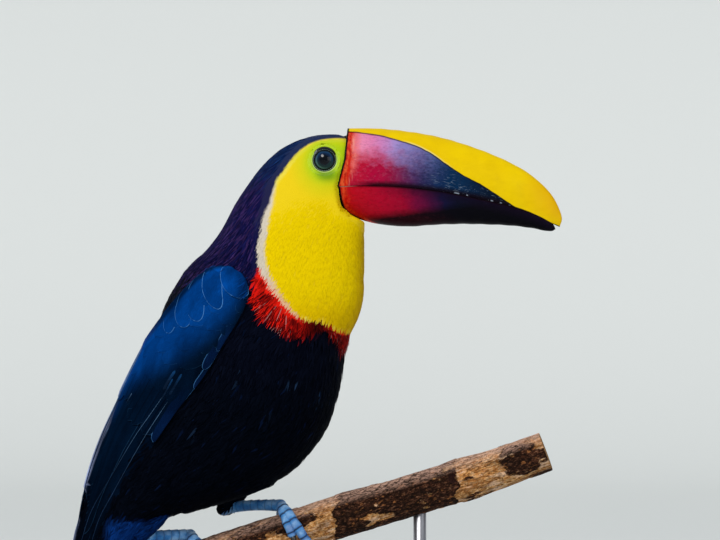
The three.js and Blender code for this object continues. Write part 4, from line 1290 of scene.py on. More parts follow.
def upper_horn():
    m = Horn("horn_upper")
    ahead, up, lip, mottle, fine = m.ahead, m.up, m.lip, m.mottle, m.fine
    low = m.along((4, "#b3102e"), (12, "#b01030"), (18, "#a60634"), (25, "#a00836"), (32, "#880f38"),
                  (39, "#641841"), (46, "#431f4c"), (53, "#25214a"), (60, "#14284f"), (68, "#042648"),
                  (77, "#062646"), (88, "#061a33"), (104, "#040a14"), (130, "#030509"))
    high = m.along((4, "#d0606c"), (10, "#dc82a4"), (16, "#d478a4"), (22, "#c077ac"), (30, "#9a82bc"),
                   (37, "#8076b0"), (45, "#6c6aa2"), (52, "#565e92"), (60, "#2c4876"), (67, "#10395f"),
                   (76, "#082c4e"), (90, "#061a33"), (110, "#040a14"), (130, "#030509"))
    # Towards the top the horn is painted paler pink and lilac, a painted sheen on its upper side.
    rise = m.plus(m.within(up, 401, 420.5), m.times(m.plus(m.broad, mottle), 0.8))
    dark = m.blend(m.ramp(rise, (0.26, 0.0), (0.9, 1.0)), low, high)
    # A cool sheen where crimson passes into navy.
    cool = m.times(m.within(ahead, 30, 44), m.within(ahead, 68, 54), m.within(up, 396, 404), 0.22)
    dark = m.blend(m.times(cool, m.ramp(fine, (0.35, 0.2), (0.65, 1.0))), dark, "#6f6fa8")
    dark = m.fibres(dark, "#c29abb", m.plus(m.times(m.within(up, 398, 412), 0.6), 0.4))
    # Pale scratches over the navy part.
    scratch = m.math("MAXIMUM",
                     m.ramp(m.noise(1500, 2.0, (0.10, 1, 1.2), turn=-12), (0.61, 0.0), (0.66, 0.8)),
                     m.ramp(m.noise(1700, 3.0, (0.3, 1, 1), turn=28), (0.61, 0.0), (0.67, 0.5)))
    near_lip = m.ramp(m.math("DIVIDE", lip, 20, True), (0.02, 0.0), (0.06, 1.0), (0.22, 0.7), (0.5, 0.12))
    patchy = m.ramp(m.noise(110, 3.0, (0.6, 1, 1)), (0.42, 0.05), (0.60, 0.8))
    worn = m.times(scratch, m.within(ahead, 46, 62), m.within(ahead, 112, 92), near_lip, patchy)
    dark = m.blend(worn, dark, "#a9bccf")
    warm = m.times(m.within(ahead, 10.0, 6.0), m.within(up, 398, 406),
                   m.ramp(fine, (0.35, 0.35), (0.6, 0.75)))
    dark = m.blend(warm, dark, "#e0685c")
    edge = m.plus(m.times(m.within(up, 425, 396), 2.4), 4.0)
    color, wave, flecks = m.base_band(dark, edge, 0.75)
    border = m.math("ABSOLUTE", m.minus(wave, m.plus(edge, 0.6)))
    color = m.blend(m.times(flecks, m.within(border, 1.3, 0.3), 0.6), color, "#e7a08c")
    # A painted shadow along the cutting edge, under the upper half's edge, and white nicks in it.
    lip_shadow = m.times(m.within(m.plus(lip, m.times(mottle, 1.2)), 3.4, 0.9), m.within(ahead, 5, 22), 0.92)
    color = m.blend(lip_shadow, color, "#0b0209")
    nicks = m.times(m.within(lip, 0.95, 0.5), m.within(ahead, 60, 66), m.within(ahead, 106, 98),
                    m.ramp(m.noise(190, 2.0, (1, 0, 0)), (0.55, 0.0), (0.61, 0.45)))
    color = m.blend(nicks, color, "#b4c0d2")
    # The yellow ridge, with a fine black border.
    border = m.plus(m.attribute("Ridge"), m.times(m.minus(m.noise(130, 3.0), 0.5), 0.9))
    yellow = m.ramp(m.noise(50, 4.0), (0.3, "#dcb602"), (0.7, "#e3c002"))
    yellow = m.blend(m.ramp(m.noise(240, 5.0, (0.5, 1, 1)), (0.32, 0.08), (0.5, 0.0)), yellow, "#9c7604")
    yellow = m.blend(m.times(m.within(ahead, 112, 134), 0.55), yellow, "#d69206")
    # A painted cream highlight on the yellow beside its border.
    cream = m.times(m.within(border, 1.0, 0.5), m.within(ahead, 34, 42), m.within(ahead, 70, 54), 0.5)
    yellow = m.blend(cream, yellow, "#e9dc9a")
    color = m.blend(m.times(m.within(border, -1.2, -0.4), 0.9), color, "#06050a")
    return m.finish(m.blend(m.within(border, -0.25, 0.25), color, yellow), 0.55)


def lower_horn():
    m = Horn("horn_lower")
    ahead, lip, along = m.ahead, m.lip, m.attribute("Along")
    dark = m.along((3, "#b80c10"), (10, "#ae081c"), (24, "#a60526"), (38, "#930428"), (47, "#6a0632"),
                   (56, "#420a32"), (63, "#120f32"), (72, "#060c20"), (110, "#040812"))
    # Painted shade: black along the keel underneath and, more softly, along the cutting edge.
    height = m.minus(m.plus(m.up, m.times(m.mottle, 2.5)), m.times(m.minus(along, 61), 0.13))
    dark = m.blend(m.times(m.within(height, 376.8, 371.9), m.within(along, 56, 66), 0.96), dark, "#040309")
    dark = m.blend(m.times(m.within(lip, 7.5, 1.5), m.within(ahead, 16, 46), 0.6), dark, "#12061c")
    dark = m.fibres(dark, "#c8506a", 0.25)
    color, _, _ = m.base_band(dark, 5.4, 0.4)
    # A painted shadow just under the cutting edge near the face.
    color = m.blend(m.times(m.within(lip, 1.6, 0.5), m.within(ahead, 8, 20), 0.85), color, "#10020a")
    color = m.blend(m.times(m.within(lip, 0.6, 0.15), m.within(ahead, 13, 5)), color, "#dda89c")
    color = m.blend(m.times(m.within(ahead, 129, 133), 0.8), color, "#b99a3a")
    return m.finish(color, 1.3)


bill_half("upper", "culmen", 1, 2.0, upper_horn())
bill_half("lower", "keel", -1, 2.3, lower_horn())


# ------------------------------------------------------------------ eyes and lids
def head_side(side):
    """The head's side as a smooth surface: y at each x and z round the eye."""
    rows, values = [], []
    for angle in np.linspace(0, TURN, 48, endpoint=False):
        for r in (10.3, 11.4, 12.8):
            dx, dz = r * math.cos(angle), r * math.sin(angle)
            x, z = EYE["x"] + dx, EYE["z"] + dz
            hit, _ = from_side(skin_bvh, x, z, side, 100)
            if hit is not None and abs(hit[1]) > 5 and x < seat_of(z) - 2.5:
                rows.append((1, dx, dz, dx * dx, dx * dz, dz * dz))
                values.append(abs(hit[1]))
    fit = np.linalg.lstsq(np.array(rows), np.array(values), rcond=None)[0]
    return lambda dx, dz: np.tensordot(
        fit, np.array([np.ones_like(dx), dx, dz, dx * dx, dx * dz, dz * dz]), 1)


def eye_materials():
    ball = Nodes("eyeball", Roughness=0.2, Coat_Weight=0.36, Coat_Roughness=0.04, Specular_IOR_Level=0.04)
    out = ball.attribute("Out")
    fibres = ball.minus(ball.noise(480, 4.0), 0.5)
    iris = ball.ramp(ball.plus(out, ball.times(fibres, 0.10)),
                     (0.0, "#010208"), (0.32, "#01040c"), (0.40, "#04142c"),
                     (0.50, "#082240"), (0.59, "#12385a"), (0.65, "#0a161c"), (0.71, "#010304"))
    low = ball.times(ball.ramp(ball.attribute("Low"), (0.40, 0.0), (0.62, 0.85)),
                     ball.ramp(out, (0.34, 0.0), (0.42, 1.0), (0.60, 1.0), (0.66, 0.0)))
    iris = ball.blend(low, iris, "#0a2a20")
    lid = Nodes("eyelid", Roughness=0.42, Specular_IOR_Level=0.4)
    return (ball.done(ball.blend(ball.attribute("Crescent"), iris, "#6a9488")),
            lid.done(lid.attribute("Col", "Color"), None, lid.bump(lid.cells(1500.0), 0.5, 0.0003)))


def eyeball(side, label, material):
    ROWS, COLUMNS = 32, 48
    polar = np.linspace(0.0001, 0.31 * TURN, ROWS)[:, None]
    turn = np.linspace(0, TURN, COLUMNS, endpoint=False)
    out = np.sin(polar) * np.ones(COLUMNS)
    flat = EYE["radius"] * out
    y = EYE["y"] + EYE["radius"] * np.cos(polar) + 0.25 * hump(polar, 0, 0.45)
    crescent = 0.5 * hump(out, 0.585, 0.04) * np.clip(1.3 * np.cos(turn - math.radians(218)) - 0.2, 0, 1)
    pile = Pile()
    pile.add(np.stack([EYE["x"] + flat * np.cos(turn), side * y + 0 * turn,
                       EYE["z"] + flat * np.sin(turn)], -1), True,
             Out=out, Low=0.5 - 0.5 * out * np.sin(turn), Crescent=crescent)
    obj = make_mesh("eyeball_" + label, pile["points"], pile["faces"][:, ::side], material,
                    floats={key: pile[key] for key in ("Out", "Low", "Crescent")})
    shown(obj, "eye", "eye_" + label)


# The lids' section, from the eyeball out: distance from the eye's middle, height, and share of the head's
# surface under it, where the rest is the eyeball's.
LID = [(6.35, -1.2, 0), (6.5, -0.2, 0), (6.7, 0.16, 0.0), (6.95, 0.30, 0.1), (7.3, 0.34, 0.3),
       (7.75, 0.40, 0.55),
       (8.2, 0.30, 0.8), (8.7, 0.24, 0.95), (9.3, 0.20, 1),
       (10.0, 0.14, 1), (10.7, -0.05, 1), (11.5, -1.0, 1)]
LID_SCALE = 0.975
BEADS = 33


def eyelids(side, label, material):
    """A rolled rim that lies on the eyeball, then bare wrinkled skin that runs under the feathers."""
    ROWS, COLUMNS = 56, 132
    fine = np.linspace(0, len(LID) - 1, ROWS)
    radius, rise, fade = (np.interp(fine, np.arange(len(LID)), v)[:, None] for v in zip(*LID))
    radius = radius * LID_SCALE
    turn = np.linspace(0, TURN, COLUMNS, endpoint=False)
    dx = radius * np.cos(turn) * (1 + 0.015 * np.cos(turn) ** 2)
    dz = radius * np.sin(turn) * (1 - 0.02 * np.sin(turn) ** 2)
    away = np.hypot(dx, dz)
    on_ball = EYE["y"] + np.sqrt(np.maximum(EYE["radius"] ** 2 - away ** 2, 0.01))
    on_head = head_side(side)(dx, dz)
    # The outermost rings follow the skin itself.
    on_skin = on_head.copy()
    for i, j in zip(*np.nonzero(away > 9.6)):
        hit, _ = from_side(skin_bvh, EYE["x"] + dx[i, j], EYE["z"] + dz[i, j], side, 100)
        if hit is not None:
            on_skin[i, j] = abs(hit[1])
    on_head = on_head + (on_skin - on_head) * step(9.6, 10.2, away)
    beads = 0.13 * np.cos(turn * BEADS) * hump(radius, 6.85, 0.22)
    wrinkle = 0.05 * np.sin(turn * 3 + radius * 2.2) * step(7.9, 9.0, radius)
    y = on_ball * (1 - fade) + on_head * fade + rise + wrinkle + beads
    verts = np.stack([EYE["x"] + dx, side * y, EYE["z"] + dz], -1)
    around = np.ones((ROWS, COLUMNS))
    # A painted highlight on the lower lid: the pale ring lies mostly there, and the beads are paler there.
    lower_lid_highlight = (0.5 + 0.5 * np.cos(turn - math.radians(275))) * around
    color = plumage(verts.reshape(-1, 3)).reshape(ROWS, COLUMNS, 3)
    color = mix(color, srgb("#86b004"), 0.6 * step(8.6, 7.8, radius) * around)
    color = mix(color, srgb("#d4e890"), hump(radius, 7.66, 0.28) * (0.05 + 0.85 * lower_lid_highlight))
    color = mix(color, srgb("#06120f"), step(7.40, 7.18, radius) * around)
    pale_rim = hump(radius, 6.72, 0.13) * np.clip(0.35 + 0.75 * np.cos(turn * BEADS), 0, 1)
    color = mix(color, srgb("#a8c8b8"), pale_rim * (0.55 + 0.4 * lower_lid_highlight))
    obj = make_mesh("eyelid_" + label, verts.reshape(-1, 3),
                    grid_faces(ROWS, COLUMNS, True)[:, ::side], material,
                    color.reshape(-1, 3))
    shown(obj, "plumage_yellow")


ball_material, lid_material = eye_materials()
for side, label in SIDES:
    eyeball(side, label, ball_material)
    eyelids(side, label, lid_material)


# ------------------------------------------------------------------ perch
PERCH_LINE = [(-66, 0, 151.3), (-40, 0.6, 160.6), (-9, 0, 171.4), (21.7, -0.6, 181.7), (46.5, -0.4, 189.7),
              (83.7, 0.8, 200.2), (120.9, 1.6, 211.6), (145.7, 0.6, 219.4), (174, -1, 230.0)]
perch_curve = by_length(spline(PERCH_LINE))
PERCH_RADIUS = 13.2


def perch_radius(t):
    return PERCH_RADIUS * (1.04 - 0.07 * t + 0.022 * np.sin(t * 17)
                           + 0.05 * np.exp(-((t - 0.79) / 0.035) ** 2))


def perch_axes(t):
    t = np.atleast_1d(t)
    along = unit(perch_curve(t + 0.002) - perch_curve(t - 0.002))
    side = np.array([0, 1.0, 0]) - along * along[:, 1:2]
    side = unit(side)
    return perch_curve(t), along, side, np.cross(along, side)


KNOT = np.array([116.0, -11.5, 213.6])
CAP_RINGS = (0.985, 0.93, 0.8, 0.6, 0.4, 0.2, 0.03)      # the cut ends' rings, from the rim to the pith


def bark_material():
    m = Nodes("bark", Roughness=0.85, Specular_IOR_Level=0.08)
    LEAN = 18

    def noise_along(scale, detail, length=0.5, rough=0.55):
        """Noise drawn out along the perch."""
        return m.noise(scale, detail, (length, 1, 1), rough=rough, turn=LEAN)
    fine = noise_along(820, 6.0, rough=0.7)
    grain = noise_along(260, 5.0, 0.16, 0.65)
    broad = noise_along(60, 4.0)
    ragged = m.minus(noise_along(240, 6.0, rough=0.7), 0.5)
    ridged = m.math("ABSOLUTE", m.minus(noise_along(330, 5.0, 0.4, 0.65), 0.5))
    cracks = m.ramp(ridged, (0.0, 0.85), (0.018, 0.5), (0.04, 0.0))
    tan = m.ramp(fine, (0.34, "#5a3316"), (0.44, "#b4773e"), (0.54, "#dea86a"), (0.66, "#f4d4ac"))
    tan = m.blend(m.ramp(grain, (0.38, 0.75), (0.52, 0.0)), tan, "#643a1a")
    tan = m.blend(m.times(m.ramp(broad, (0.45, 0.0), (0.62, 1.0)), 0.35), tan, "#c27c42")
    tan = m.blend(m.ramp(noise_along(330, 5.0, 0.2, 0.6), (0.52, 0.0), (0.62, 0.7)), tan, "#f0c9a8")
    dark = m.ramp(fine, (0.34, "#0c0603"), (0.46, "#2e180d"), (0.56, "#533121"), (0.67, "#92694e"))
    dark = m.blend(m.ramp(grain, (0.42, 0.65), (0.55, 0.0)), dark, "#170c07")
    dark = m.blend(m.ramp(noise_along(520, 4.0), (0.60, 0.0), (0.68, 0.8)), dark, "#a0663a")
    patch = m.plus(m.attribute("Field"), m.times(ragged, 0.95))
    patch = m.math("DIVIDE", m.plus(patch, 0.02), 0.06, True)
    bark = m.blend(patch, tan, dark)
    # A painted pale pinkish highlight along the top; below it the bark keeps its own colours.
    top_highlight = m.times(m.ramp(m.attribute("Top"), (0.45, 0.0), (0.93, 0.9)),
                        m.ramp(fine, (0.36, 0.08), (0.53, 0.95)))
    bark = m.blend(top_highlight, bark, "#d9ae98")
    bark = m.blend(m.times(cracks, m.plus(m.times(patch, 0.65), 0.35)), bark, "#140a05")
    pits = m.ramp(m.noise(1100, 2.0), (0.64, 0.0), (0.70, 0.8))
    bark = m.blend(pits, bark, "#1a0f0a")
    bark = m.blend(m.ramp(m.attribute("Knot"), (0.35, 0.0), (0.8, 0.85)), bark, "#2a1512")
    rings = m.math("SINE", m.times(m.plus(m.attribute("Share"), m.times(broad, 0.12)), 60))
    wood = m.blend(m.times(m.plus(rings, 1), 0.25), "#b98d5c", "#855a32")
    relief = m.plus(fine, m.times(grain, 0.8), m.times(patch, 0.5))
    relief = m.minus(relief, m.times(m.plus(pits, cracks), 0.4))
    return m.done(m.blend(m.attribute("Cut"), bark, wood), None, m.bump(relief, 1.0, 0.0014))


def perch():
    ROWS, COLUMNS = 380, 128
    t = np.linspace(0, 1, ROWS)
    middle, along, side, up = perch_axes(np.clip(t, 0.001, 0.999))
    turn = np.linspace(0, TURN, COLUMNS, endpoint=False)
    ring = np.cos(turn)[None, :, None] * up[:, None] + np.sin(turn)[None, :, None] * side[:, None]
    base = (middle[:, None] + ring * perch_radius(t)[:, None, None]).reshape(-1, 3)
    # Places on the bark, along the perch and round it, so that its grain runs along it.
    x, top = base[:, 0], np.tile(np.cos(turn), ROWS)
    place = np.stack([x / 0.95, top * 13, np.tile(np.sin(turn), ROWS) * 13], 1)
    bumps = fbm(place * (0.5, 1, 1), 9.0, 3, 3.0)
    fibres = fbm(place * (0.18, 1, 1), 2.2, 2, 40.0)
    # Old rough bark over most of the middle, and smooth orange-tan wood where it has come off.
    field = fbm(place * (0.42, 1, 1), 13.0, 4, 90.0)
    field += 0.34 * step(40, 47, x) * step(122, 116, x) - 0.30 * step(16, 24, x) * step(48, 40, x)
    field += -0.34 * step(116, 122, x) * step(152, 142, x) - 0.10 * step(0.55, 0.9, top) + 0.06
    crust = fbm(place * (0.6, 1, 1), 3.0, 2, 7.0)
    height = 0.30 * bumps + 0.16 * fibres - 0.55 + step(-0.05, 0.06, field) * (0.5 + 0.42 * crust)
    away = np.sqrt(((base - KNOT) ** 2).sum(1))
    height = np.minimum(height + hump(away, 3.4, 1.2) - 0.7 * hump(away, 0, 1.9), 0.75)
    verts = (base + ring.reshape(-1, 3) * height[:, None]).reshape(ROWS, COLUMNS, 3)
    # Cut ends: a slightly rounded rim, then rings in to the pith.
    start, end = ([middle[row] + (verts[row] - middle[row]) * share
                   + along[row] * sign * (0.35 if share < 0.97 else 0.2)
                   for share in CAP_RINGS] for row, sign in ((0, -1), (ROWS - 1, 1)))
    ends = len(CAP_RINGS)
    pad = np.zeros((ends, COLUMNS))
    values = {"Field": field, "Top": np.clip(top, 0, 1), "Knot": np.exp(-(away / 3.6) ** 4)}
    values = {key: np.concatenate([pad, value.reshape(ROWS, COLUMNS), pad]) for key, value in values.items()}
    values["Cut"] = np.repeat([1.0, 0.0, 1.0], [ends, ROWS, ends])[:, None]
    values["Share"] = np.concatenate([CAP_RINGS[::-1], np.ones(ROWS), CAP_RINGS])[:, None]
    pile = Pile()
    pile.add(np.concatenate([np.array(start[::-1]), verts, np.array(end)]), True, **values)
    obj = make_mesh("perch_bark", pile["points"], pile["faces"], bark_material(),
                    floats={key: pile[key] for key in values})
    shown(obj, "bark", "perch")


perch()


# ------------------------------------------------------------------ feet and claws
LEGS = [dict(name="right", grip=-40.0, heel=(-81.5, -15, 176.5)),
        dict(name="left", grip=15.5, heel=(-26, 16, 193.5))]
TOES = [dict(name="inner_front", to=-1, start=8, end=98, travel=1.5, radius=3.3),
        dict(name="outer_front", to=-1, start=8, end=124, travel=9, radius=3.5),
        dict(name="inner_rear", to=1, start=8, end=78, travel=2, radius=2.6),
        dict(name="outer_rear", to=1, start=8, end=112, travel=-6.5, radius=2.9)]
CLAW = dict(radius=1.7, curl=34)
TARSUS = 3.5
TARSUS_PLATE, TOE_PLATE = 5.0, 6.0       # the length of a plate


def on_perch(x, degrees, to, height):
    """Points round the perch: so far from its top, and so far out from its bark."""
    t = np.linspace(0, 1, 500)
    place = np.interp(x, perch_curve(t)[:, 0], t)
    middle, _, side, up = perch_axes(place)
    a = np.radians(degrees)[:, None]
    reach = (perch_radius(np.atleast_1d(place)) + height)[:, None]
    return middle + (np.cos(a) * up + to * np.sin(a) * side) * reach


def tube(path, radii, flat, ups, columns, ridge=0.0):
    """A tube through path. ups is the way its top faces, and ridge is added to its radius on the top."""
    ahead = unit(np.gradient(path, axis=0))
    ups = unit(ups - ahead * (ups * ahead).sum(1, keepdims=True))
    side = np.cross(ahead, ups)
    turn = np.linspace(0, TURN, columns, endpoint=False)
    r = radii[:, None] + ridge * np.clip(np.cos(turn) * 1.4 + 0.35, 0.12, 1)
    return (path[:, None] + ups[:, None] * (np.cos(turn) * r * flat)[..., None]
            + side[:, None] * (np.sin(turn) * r)[..., None])


def scutes(pile, path, radii, flat, ups, run, plate, height, covered, joint_depth, under):
    """A tube with overlapping plates on it: each plate rises slowly and ends in a step."""
    COLUMNS = 24
    around = np.cos(np.linspace(0, TURN, COLUMNS, endpoint=False))
    covered = covered[:, None]
    phase = ((run / plate) % 1)[:, None]
    ridge = height * (phase ** 1.5 - 0.5 - 0.55 * step(0.93, 1.0, phase))
    joint = step(0.86, 0.97, phase) + step(0.09, 0.02, phase)
    # Seams along the sides, where the plates on top meet the small scales below.
    seam = 0.8 * hump(np.abs(around - 0.12), 0, 0.10)
    pile.add(tube(path, radii, flat, ups, COLUMNS, ridge * covered), True,
             Joint=np.maximum(joint * covered, seam * covered) * joint_depth,
             Under=step(-0.2, -0.7, around)[None] if under else 0.0,
             Plate=np.clip(np.sin(phase * math.pi), 0, 1) ** 1.5 * np.clip(around, 0, 1))


def round_end(past, length):
    """How a tube narrows to a round end: past is how far into the end's length it is."""
    NEAREST = 0.0001
    return np.sqrt(np.clip(1 - (np.clip(past, 0, length - NEAREST) / length) ** 2, 0.0004, 1))


def tarsus(pile, leg):
    heel = np.array(leg["heel"], float)
    ball = on_perch(np.array([leg["grip"]]), np.array([0.0]), 1, TARSUS + 0.7)[0]
    share = np.linspace(-0.06, 1.06, 120)
    held = np.clip(share, 0, 1)
    line = heel + (ball - heel) * held[:, None] + unit(ball - heel) * ((share - held) * 55)[:, None]
    line[:, 2] += np.sin(held * math.pi)
    radii = TARSUS * (1.1 - 0.55 * held * (1 - held) + 0.22 * hump(share, 0, 0.09))
    radii = radii * round_end(np.abs(share - 0.5) - 0.5, 0.06)
    scutes(pile, line, radii, 1.0, np.tile([0, 0, 1.0], (len(share), 1)), held * np.linalg.norm(ball - heel),
           TARSUS_PLATE, 0.45, (share > 0.02) & (share < 0.98), 0.55, False)


def toe_path(leg, toe, share, height):
    """A line along the toe, so far out from the bark, and the way its top faces."""
    MIDDLE = -12.0
    degrees = toe["start"] + (toe["end"] - toe["start"]) * share
    x = leg["grip"] + toe["travel"] * share
    path = on_perch(x, degrees, toe["to"], height)
    return path, unit(path - on_perch(x, degrees, toe["to"], np.full(len(share), MIDDLE)))


def toe_scutes(pile, leg, toe):
    share = np.linspace(0, 1.0, 90)
    path, ups = toe_path(leg, toe, share, np.full(len(share), toe["radius"] + 0.55))
    radii = toe["radius"] * (1 - 0.2 * share) + 0.176 * np.cos(share * 19)
    radii = radii * round_end(share - 0.93, 0.07) * round_end(0.04 - share, 0.04)
    scutes(pile, path, radii, 0.94, ups, run_of(path), TOE_PLATE, 0.6,
           (share > 0.03) & (share < 0.95), 1.0, True)


def claw(leg, toe, material):
    """A curved, pointed and slightly flattened horn."""
    COLUMNS = 14
    begin, reach = 1 - 0.02, 1 + CLAW["curl"] / (toe["end"] - toe["start"])
    share = np.linspace(begin, reach, 40)
    f = (share - begin) / (reach - begin)
    path, ups = toe_path(leg, toe, share, toe["radius"] + 0.3 + 1.1 * np.sin(f * math.pi) - 1.9 * f ** 1.5)
    radii = (CLAW["radius"] * (1 - f ** 1.4) + 0.12) * np.sqrt(np.clip(f / 0.05, 0.02, 1))
    name = f"claw_{leg['name']}_{toe['name']}"
    verts = tube(path, radii, 1.15, ups, COLUMNS)
    obj = make_mesh(name + "_horn", verts.reshape(-1, 3), grid_faces(len(verts), COLUMNS, True), material)
    close_holes(obj)
    shown(obj, "claw", name)


def foot_materials():
    m = Nodes("scutes", Roughness=0.4, Specular_IOR_Level=0.25)
    cells, joint = m.cells(1100.0), m.attribute("Joint")
    blue = m.ramp(m.noise(120, 4.0), (0.34, "#0f5aa2"), (0.5, "#3380c2"), (0.66, "#84b4e2"))
    # Each plate is paler in its middle on the upper side, a painted highlight, and has a narrow dark-blue
    # seam round it.
    pale = m.times(m.attribute("Plate"), m.ramp(m.noise(300, 3.0), (0.3, 0.05), (0.7, 0.6)))
    blue = m.blend(pale, blue, "#aed0ee")
    blue = m.blend(m.ramp(m.noise(90, 2.0), (0.52, 0.0), (0.66, 0.45)), blue, "#6a82ac")
    color = m.blend(m.times(joint, 0.97), blue, "#0b2244")
    color = m.blend(m.ramp(cells, (0.0, 0.25), (0.3, 0.0)), color, "#dfe8ee")
    color = m.blend(m.times(m.attribute("Under"), 0.7), color, "#64747c")
    k = Nodes("claw_horn", Roughness=0.28, Specular_IOR_Level=0.5, Coat_Weight=0.3, Coat_Roughness=0.15)
    horn = k.ramp(k.noise(300, 3.0), (0.35, "#121110"), (0.7, "#3a342d"))
    return (m.done(color, None, m.bump(m.plus(joint, cells), 0.45, 0.0004)),
            k.done(horn, None, k.bump(k.noise(500, 2.0), 0.2, 0.0003)))


def feet():
    scute_material, claw_material = foot_materials()
    for leg in LEGS:
        pile = Pile()
        tarsus(pile, leg)
        for toe in TOES:
            toe_scutes(pile, leg, toe)
            claw(leg, toe, claw_material)
        obj = make_mesh("foot_" + leg["name"] + "_scutes", pile["points"], pile["faces"], scute_material,
                        floats={key: pile[key] for key in ("Joint", "Under", "Plate")})
        close_holes(obj)
        shown(obj, "scutes", "foot_" + leg["name"])


feet()


def cuffs():
    """Loose feathers of the shins that close over the heels."""
    TRIED = 2400
    for leg in LEGS:
        shin, foot = "shin_" + leg["name"], "foot_" + leg["name"]
        verts, faces = read_nodes([shin])
        heel = np.array(leg["heel"], float)
        far = verts[np.argsort(np.linalg.norm(verts - heel, axis=1))[-40:]].mean(0)
        axis = unit(heel - far)
        a, b, c = (verts[faces[:, k]] for k in range(3))
        cross = np.cross(b - a, c - a)
        area = np.linalg.norm(cross, axis=1)
        face = rng.choice(len(faces), TRIED, p=area / area.sum())
        u, v = np.sort(rng.random((2, TRIED, 1)), axis=0)
        p = a[face] * u + b[face] * (v - u) + c[face] * (1 - v)
        p = p[((heel - p) @ axis > 1.5) & (np.abs(unit(cross[face]) @ axis) < 0.8)]
        tint = FLANK_BLUE * 0.8 if leg["name"] == "right" else BELLY * 1.5
        coat("coat_cuff_" + leg["name"], p, rng.uniform(7, 12, len(p)), rng.uniform(1.0, 1.9, len(p)),
             rng.uniform(0.5, 1.7, len(p)), rng.normal(0, 0.16, len(p)), BLACK_COAT, segments=4, shade=0.25,
             color_of=lambda q, jitter: mix(BELLY, tint, 0.3 + 0.7 * rng.random(len(q))),
             surface=bvh_of(*read_nodes([shin, foot, "trunk"])), lie=lambda q: np.tile(axis, (len(q), 1)))


cuffs()


# ------------------------------------------------------------------ stand
BASE = dict(length=260, width=122, height=12, corner=34, bevel=2.0)
RODS = (-10, 96)         # how far along the bird each rod stands
# A rod's section from the base up: radius, and height over the base.
ROD_FOOT = [(6.5, 0), (6.5, 1.2), (6.0, 2.0), (4.2, 2.3), (4.0, 2.8)]


def stand_materials():
    wood = Nodes("stand_wood", Roughness=0.38, Coat_Weight=0.3, Coat_Roughness=0.2)
    grain = wood.noise(60, 5.0, (0.12, 1.0, 1.0))
    steel = Nodes("stand_steel", Roughness=0.42, Metallic=1.0)
    brushed = steel.noise(900, 2.0, (1, 1, 0.03))
    return (wood.done(wood.ramp(grain, (0.3, "#2a1c14"), (0.5, "#3d2a1e"), (0.7, "#553a28")), None,
                      wood.bump(grain, 0.15, 0.0005)),
            steel.done(steel.ramp(brushed, (0.3, "#8c8c90"), (0.7, "#b9b9bd")), None,
                       steel.bump(brushed, 0.1, 0.0002)))


def stand():
    wood, steel = stand_materials()
    height, bevel = BASE["height"], BASE["bevel"]
    outline = []
    for quarter, (sx, sy) in enumerate(((1, 1), (-1, 1), (-1, -1), (1, -1))):
        for a in np.linspace(0, TURN / 4, 24) + quarter * TURN / 4:
            outline.append((sx * (BASE["length"] / 2 - BASE["corner"]),
                            sy * (BASE["width"] / 2 - BASE["corner"]),
                            math.cos(a), math.sin(a)))
    corner, way = np.split(np.array(outline), 2, 1)
    # The section of the edge: how far in, and how high.
    levels = [(bevel, 0)] + [(bevel * (1 - math.sin(a)), bevel * (1 - math.cos(a)))
                             for a in np.linspace(0.2, TURN / 4, 6)]
    levels += [(0, height / 2)] + [(bevel * (1 - math.cos(a)), height - bevel * (1 - math.sin(a)))
                                   for a in np.linspace(0, TURN / 4, 7)]
    verts = np.concatenate([np.column_stack([corner + way * (BASE["corner"] - inset), np.full(len(way), z)])
                            for inset, z in levels])
    obj = make_mesh("stand_base_wood", verts, grid_faces(len(levels), len(way), True), wood)
    close_holes(obj)
    for p in obj.data.polygons:
        p.use_smooth = len(p.vertices) == 4
    shown(obj, "stand_wood", "stand_base")
    for number, x in enumerate(RODS, 1):
        t = np.linspace(0, 1, 500)
        place = np.interp(x, perch_curve(t)[:, 0], t)
        _, y, middle = perch_curve(place)[0]
        top = middle - float(perch_radius(place)) + 1.5
        levels = [(r, height + z) for r, z in ROD_FOOT] + [(4.0, top - 0.4), (3.6, top)]
        turn = np.linspace(0, TURN, 40, endpoint=False)
        verts = np.concatenate([np.stack([x + r * np.cos(turn), y + r * np.sin(turn), np.full(40, z)], 1)
                                for r, z in levels])
        obj = make_mesh(f"stand_rod_{number}_steel", verts, grid_faces(len(levels), 40, True), steel)
        close_holes(obj)
        shown(obj, "stand_rod", f"stand_rod_{number}")


stand()


# ------------------------------------------------------------------ studio
PIXEL = 0.62 * MM            # the size of a pixel at the bird, in metres
VIEW_DISTANCE = 2.4
AIM = (0.03, 0, 0.33)


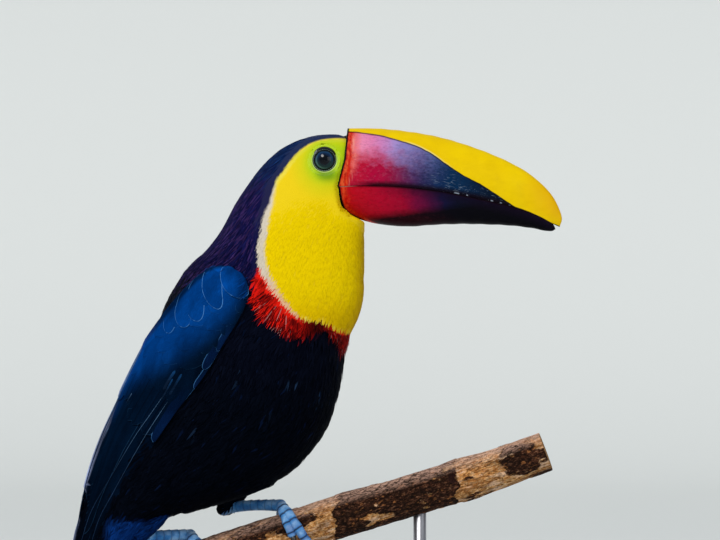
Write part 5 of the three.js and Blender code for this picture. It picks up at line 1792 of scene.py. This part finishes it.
def light(kind, name, energy, color, way, **settings):
    """A lamp that shines along way."""
    lamp = bpy.data.lights.new(name, kind)
    lamp.energy = energy
    lamp.color = color
    for key, value in settings.items():
        setattr(lamp, key, value)
    obj = bpy.data.objects.new(name, lamp)
    obj.rotation_euler = Vector(way).to_track_quat("-Z", "Y").to_euler()
    bpy.context.scene.collection.objects.link(obj)
    return obj


def softbox(name, place, size, watts, color):
    way = Vector(AIM) - Vector(place)
    light("AREA", name, watts, color, way, shape="RECTANGLE", size=size[0], size_y=size[1]).location = place


def studio():
    scene = bpy.context.scene
    # The floor runs flat and then sweeps up behind.
    profile = [(-7000, 0)] + [(3600 + 1500 * math.sin(a), 1500 - 1500 * math.cos(a))
                              for a in np.linspace(0, TURN / 4, 24)] + [(5100, 5000)]
    verts = np.array([(x, y, z) for y, z in profile for x in (-7000, 7000)], float)
    faces = np.array([(2 * i, 2 * i + 1, 2 * i + 3, 2 * i + 2) for i in range(len(profile) - 1)])
    floor_material = Nodes("studio_floor", Roughness=0.9, Specular_IOR_Level=0.2).done("#d3d6d4")
    floor = make_mesh("studio_sweep", verts, faces, floor_material)
    scene.world = bpy.data.worlds.new("studio")
    scene.world.use_nodes = True
    sky, strength = scene.world.node_tree.nodes["Background"].inputs[:2]
    sky.default_value = (0.80, 0.88, 1.0, 1)
    strength.default_value = 0.38
    light("SUN", "key", 2.3, (1.0, 0.98, 0.95), (0.73, 1.7, -1.57), angle=math.radians(22))
    softbox("fill", (1.8, -1.6, 0.9), (1.4, 1.4), 11, (0.95, 0.98, 1.0))
    softbox("back", (-1.3, 1.0, 1.5), (1.0, 0.8), 10, (0.92, 0.96, 1.0))
    camera_data = bpy.data.cameras.new("camera")
    camera_data.sensor_width = 36
    camera_data.lens = 36 * VIEW_DISTANCE / (720 * PIXEL)
    camera_data.clip_end = 50
    camera = bpy.data.objects.new("camera", camera_data)
    camera.location = (0.0589, -VIEW_DISTANCE, 0.3422)
    camera.rotation_euler = (TURN / 4, 0, 0)
    scene.collection.objects.link(camera)
    scene.camera = camera
    scene.view_settings.view_transform = "Standard"
    scene.view_settings.look = "None"


studio()
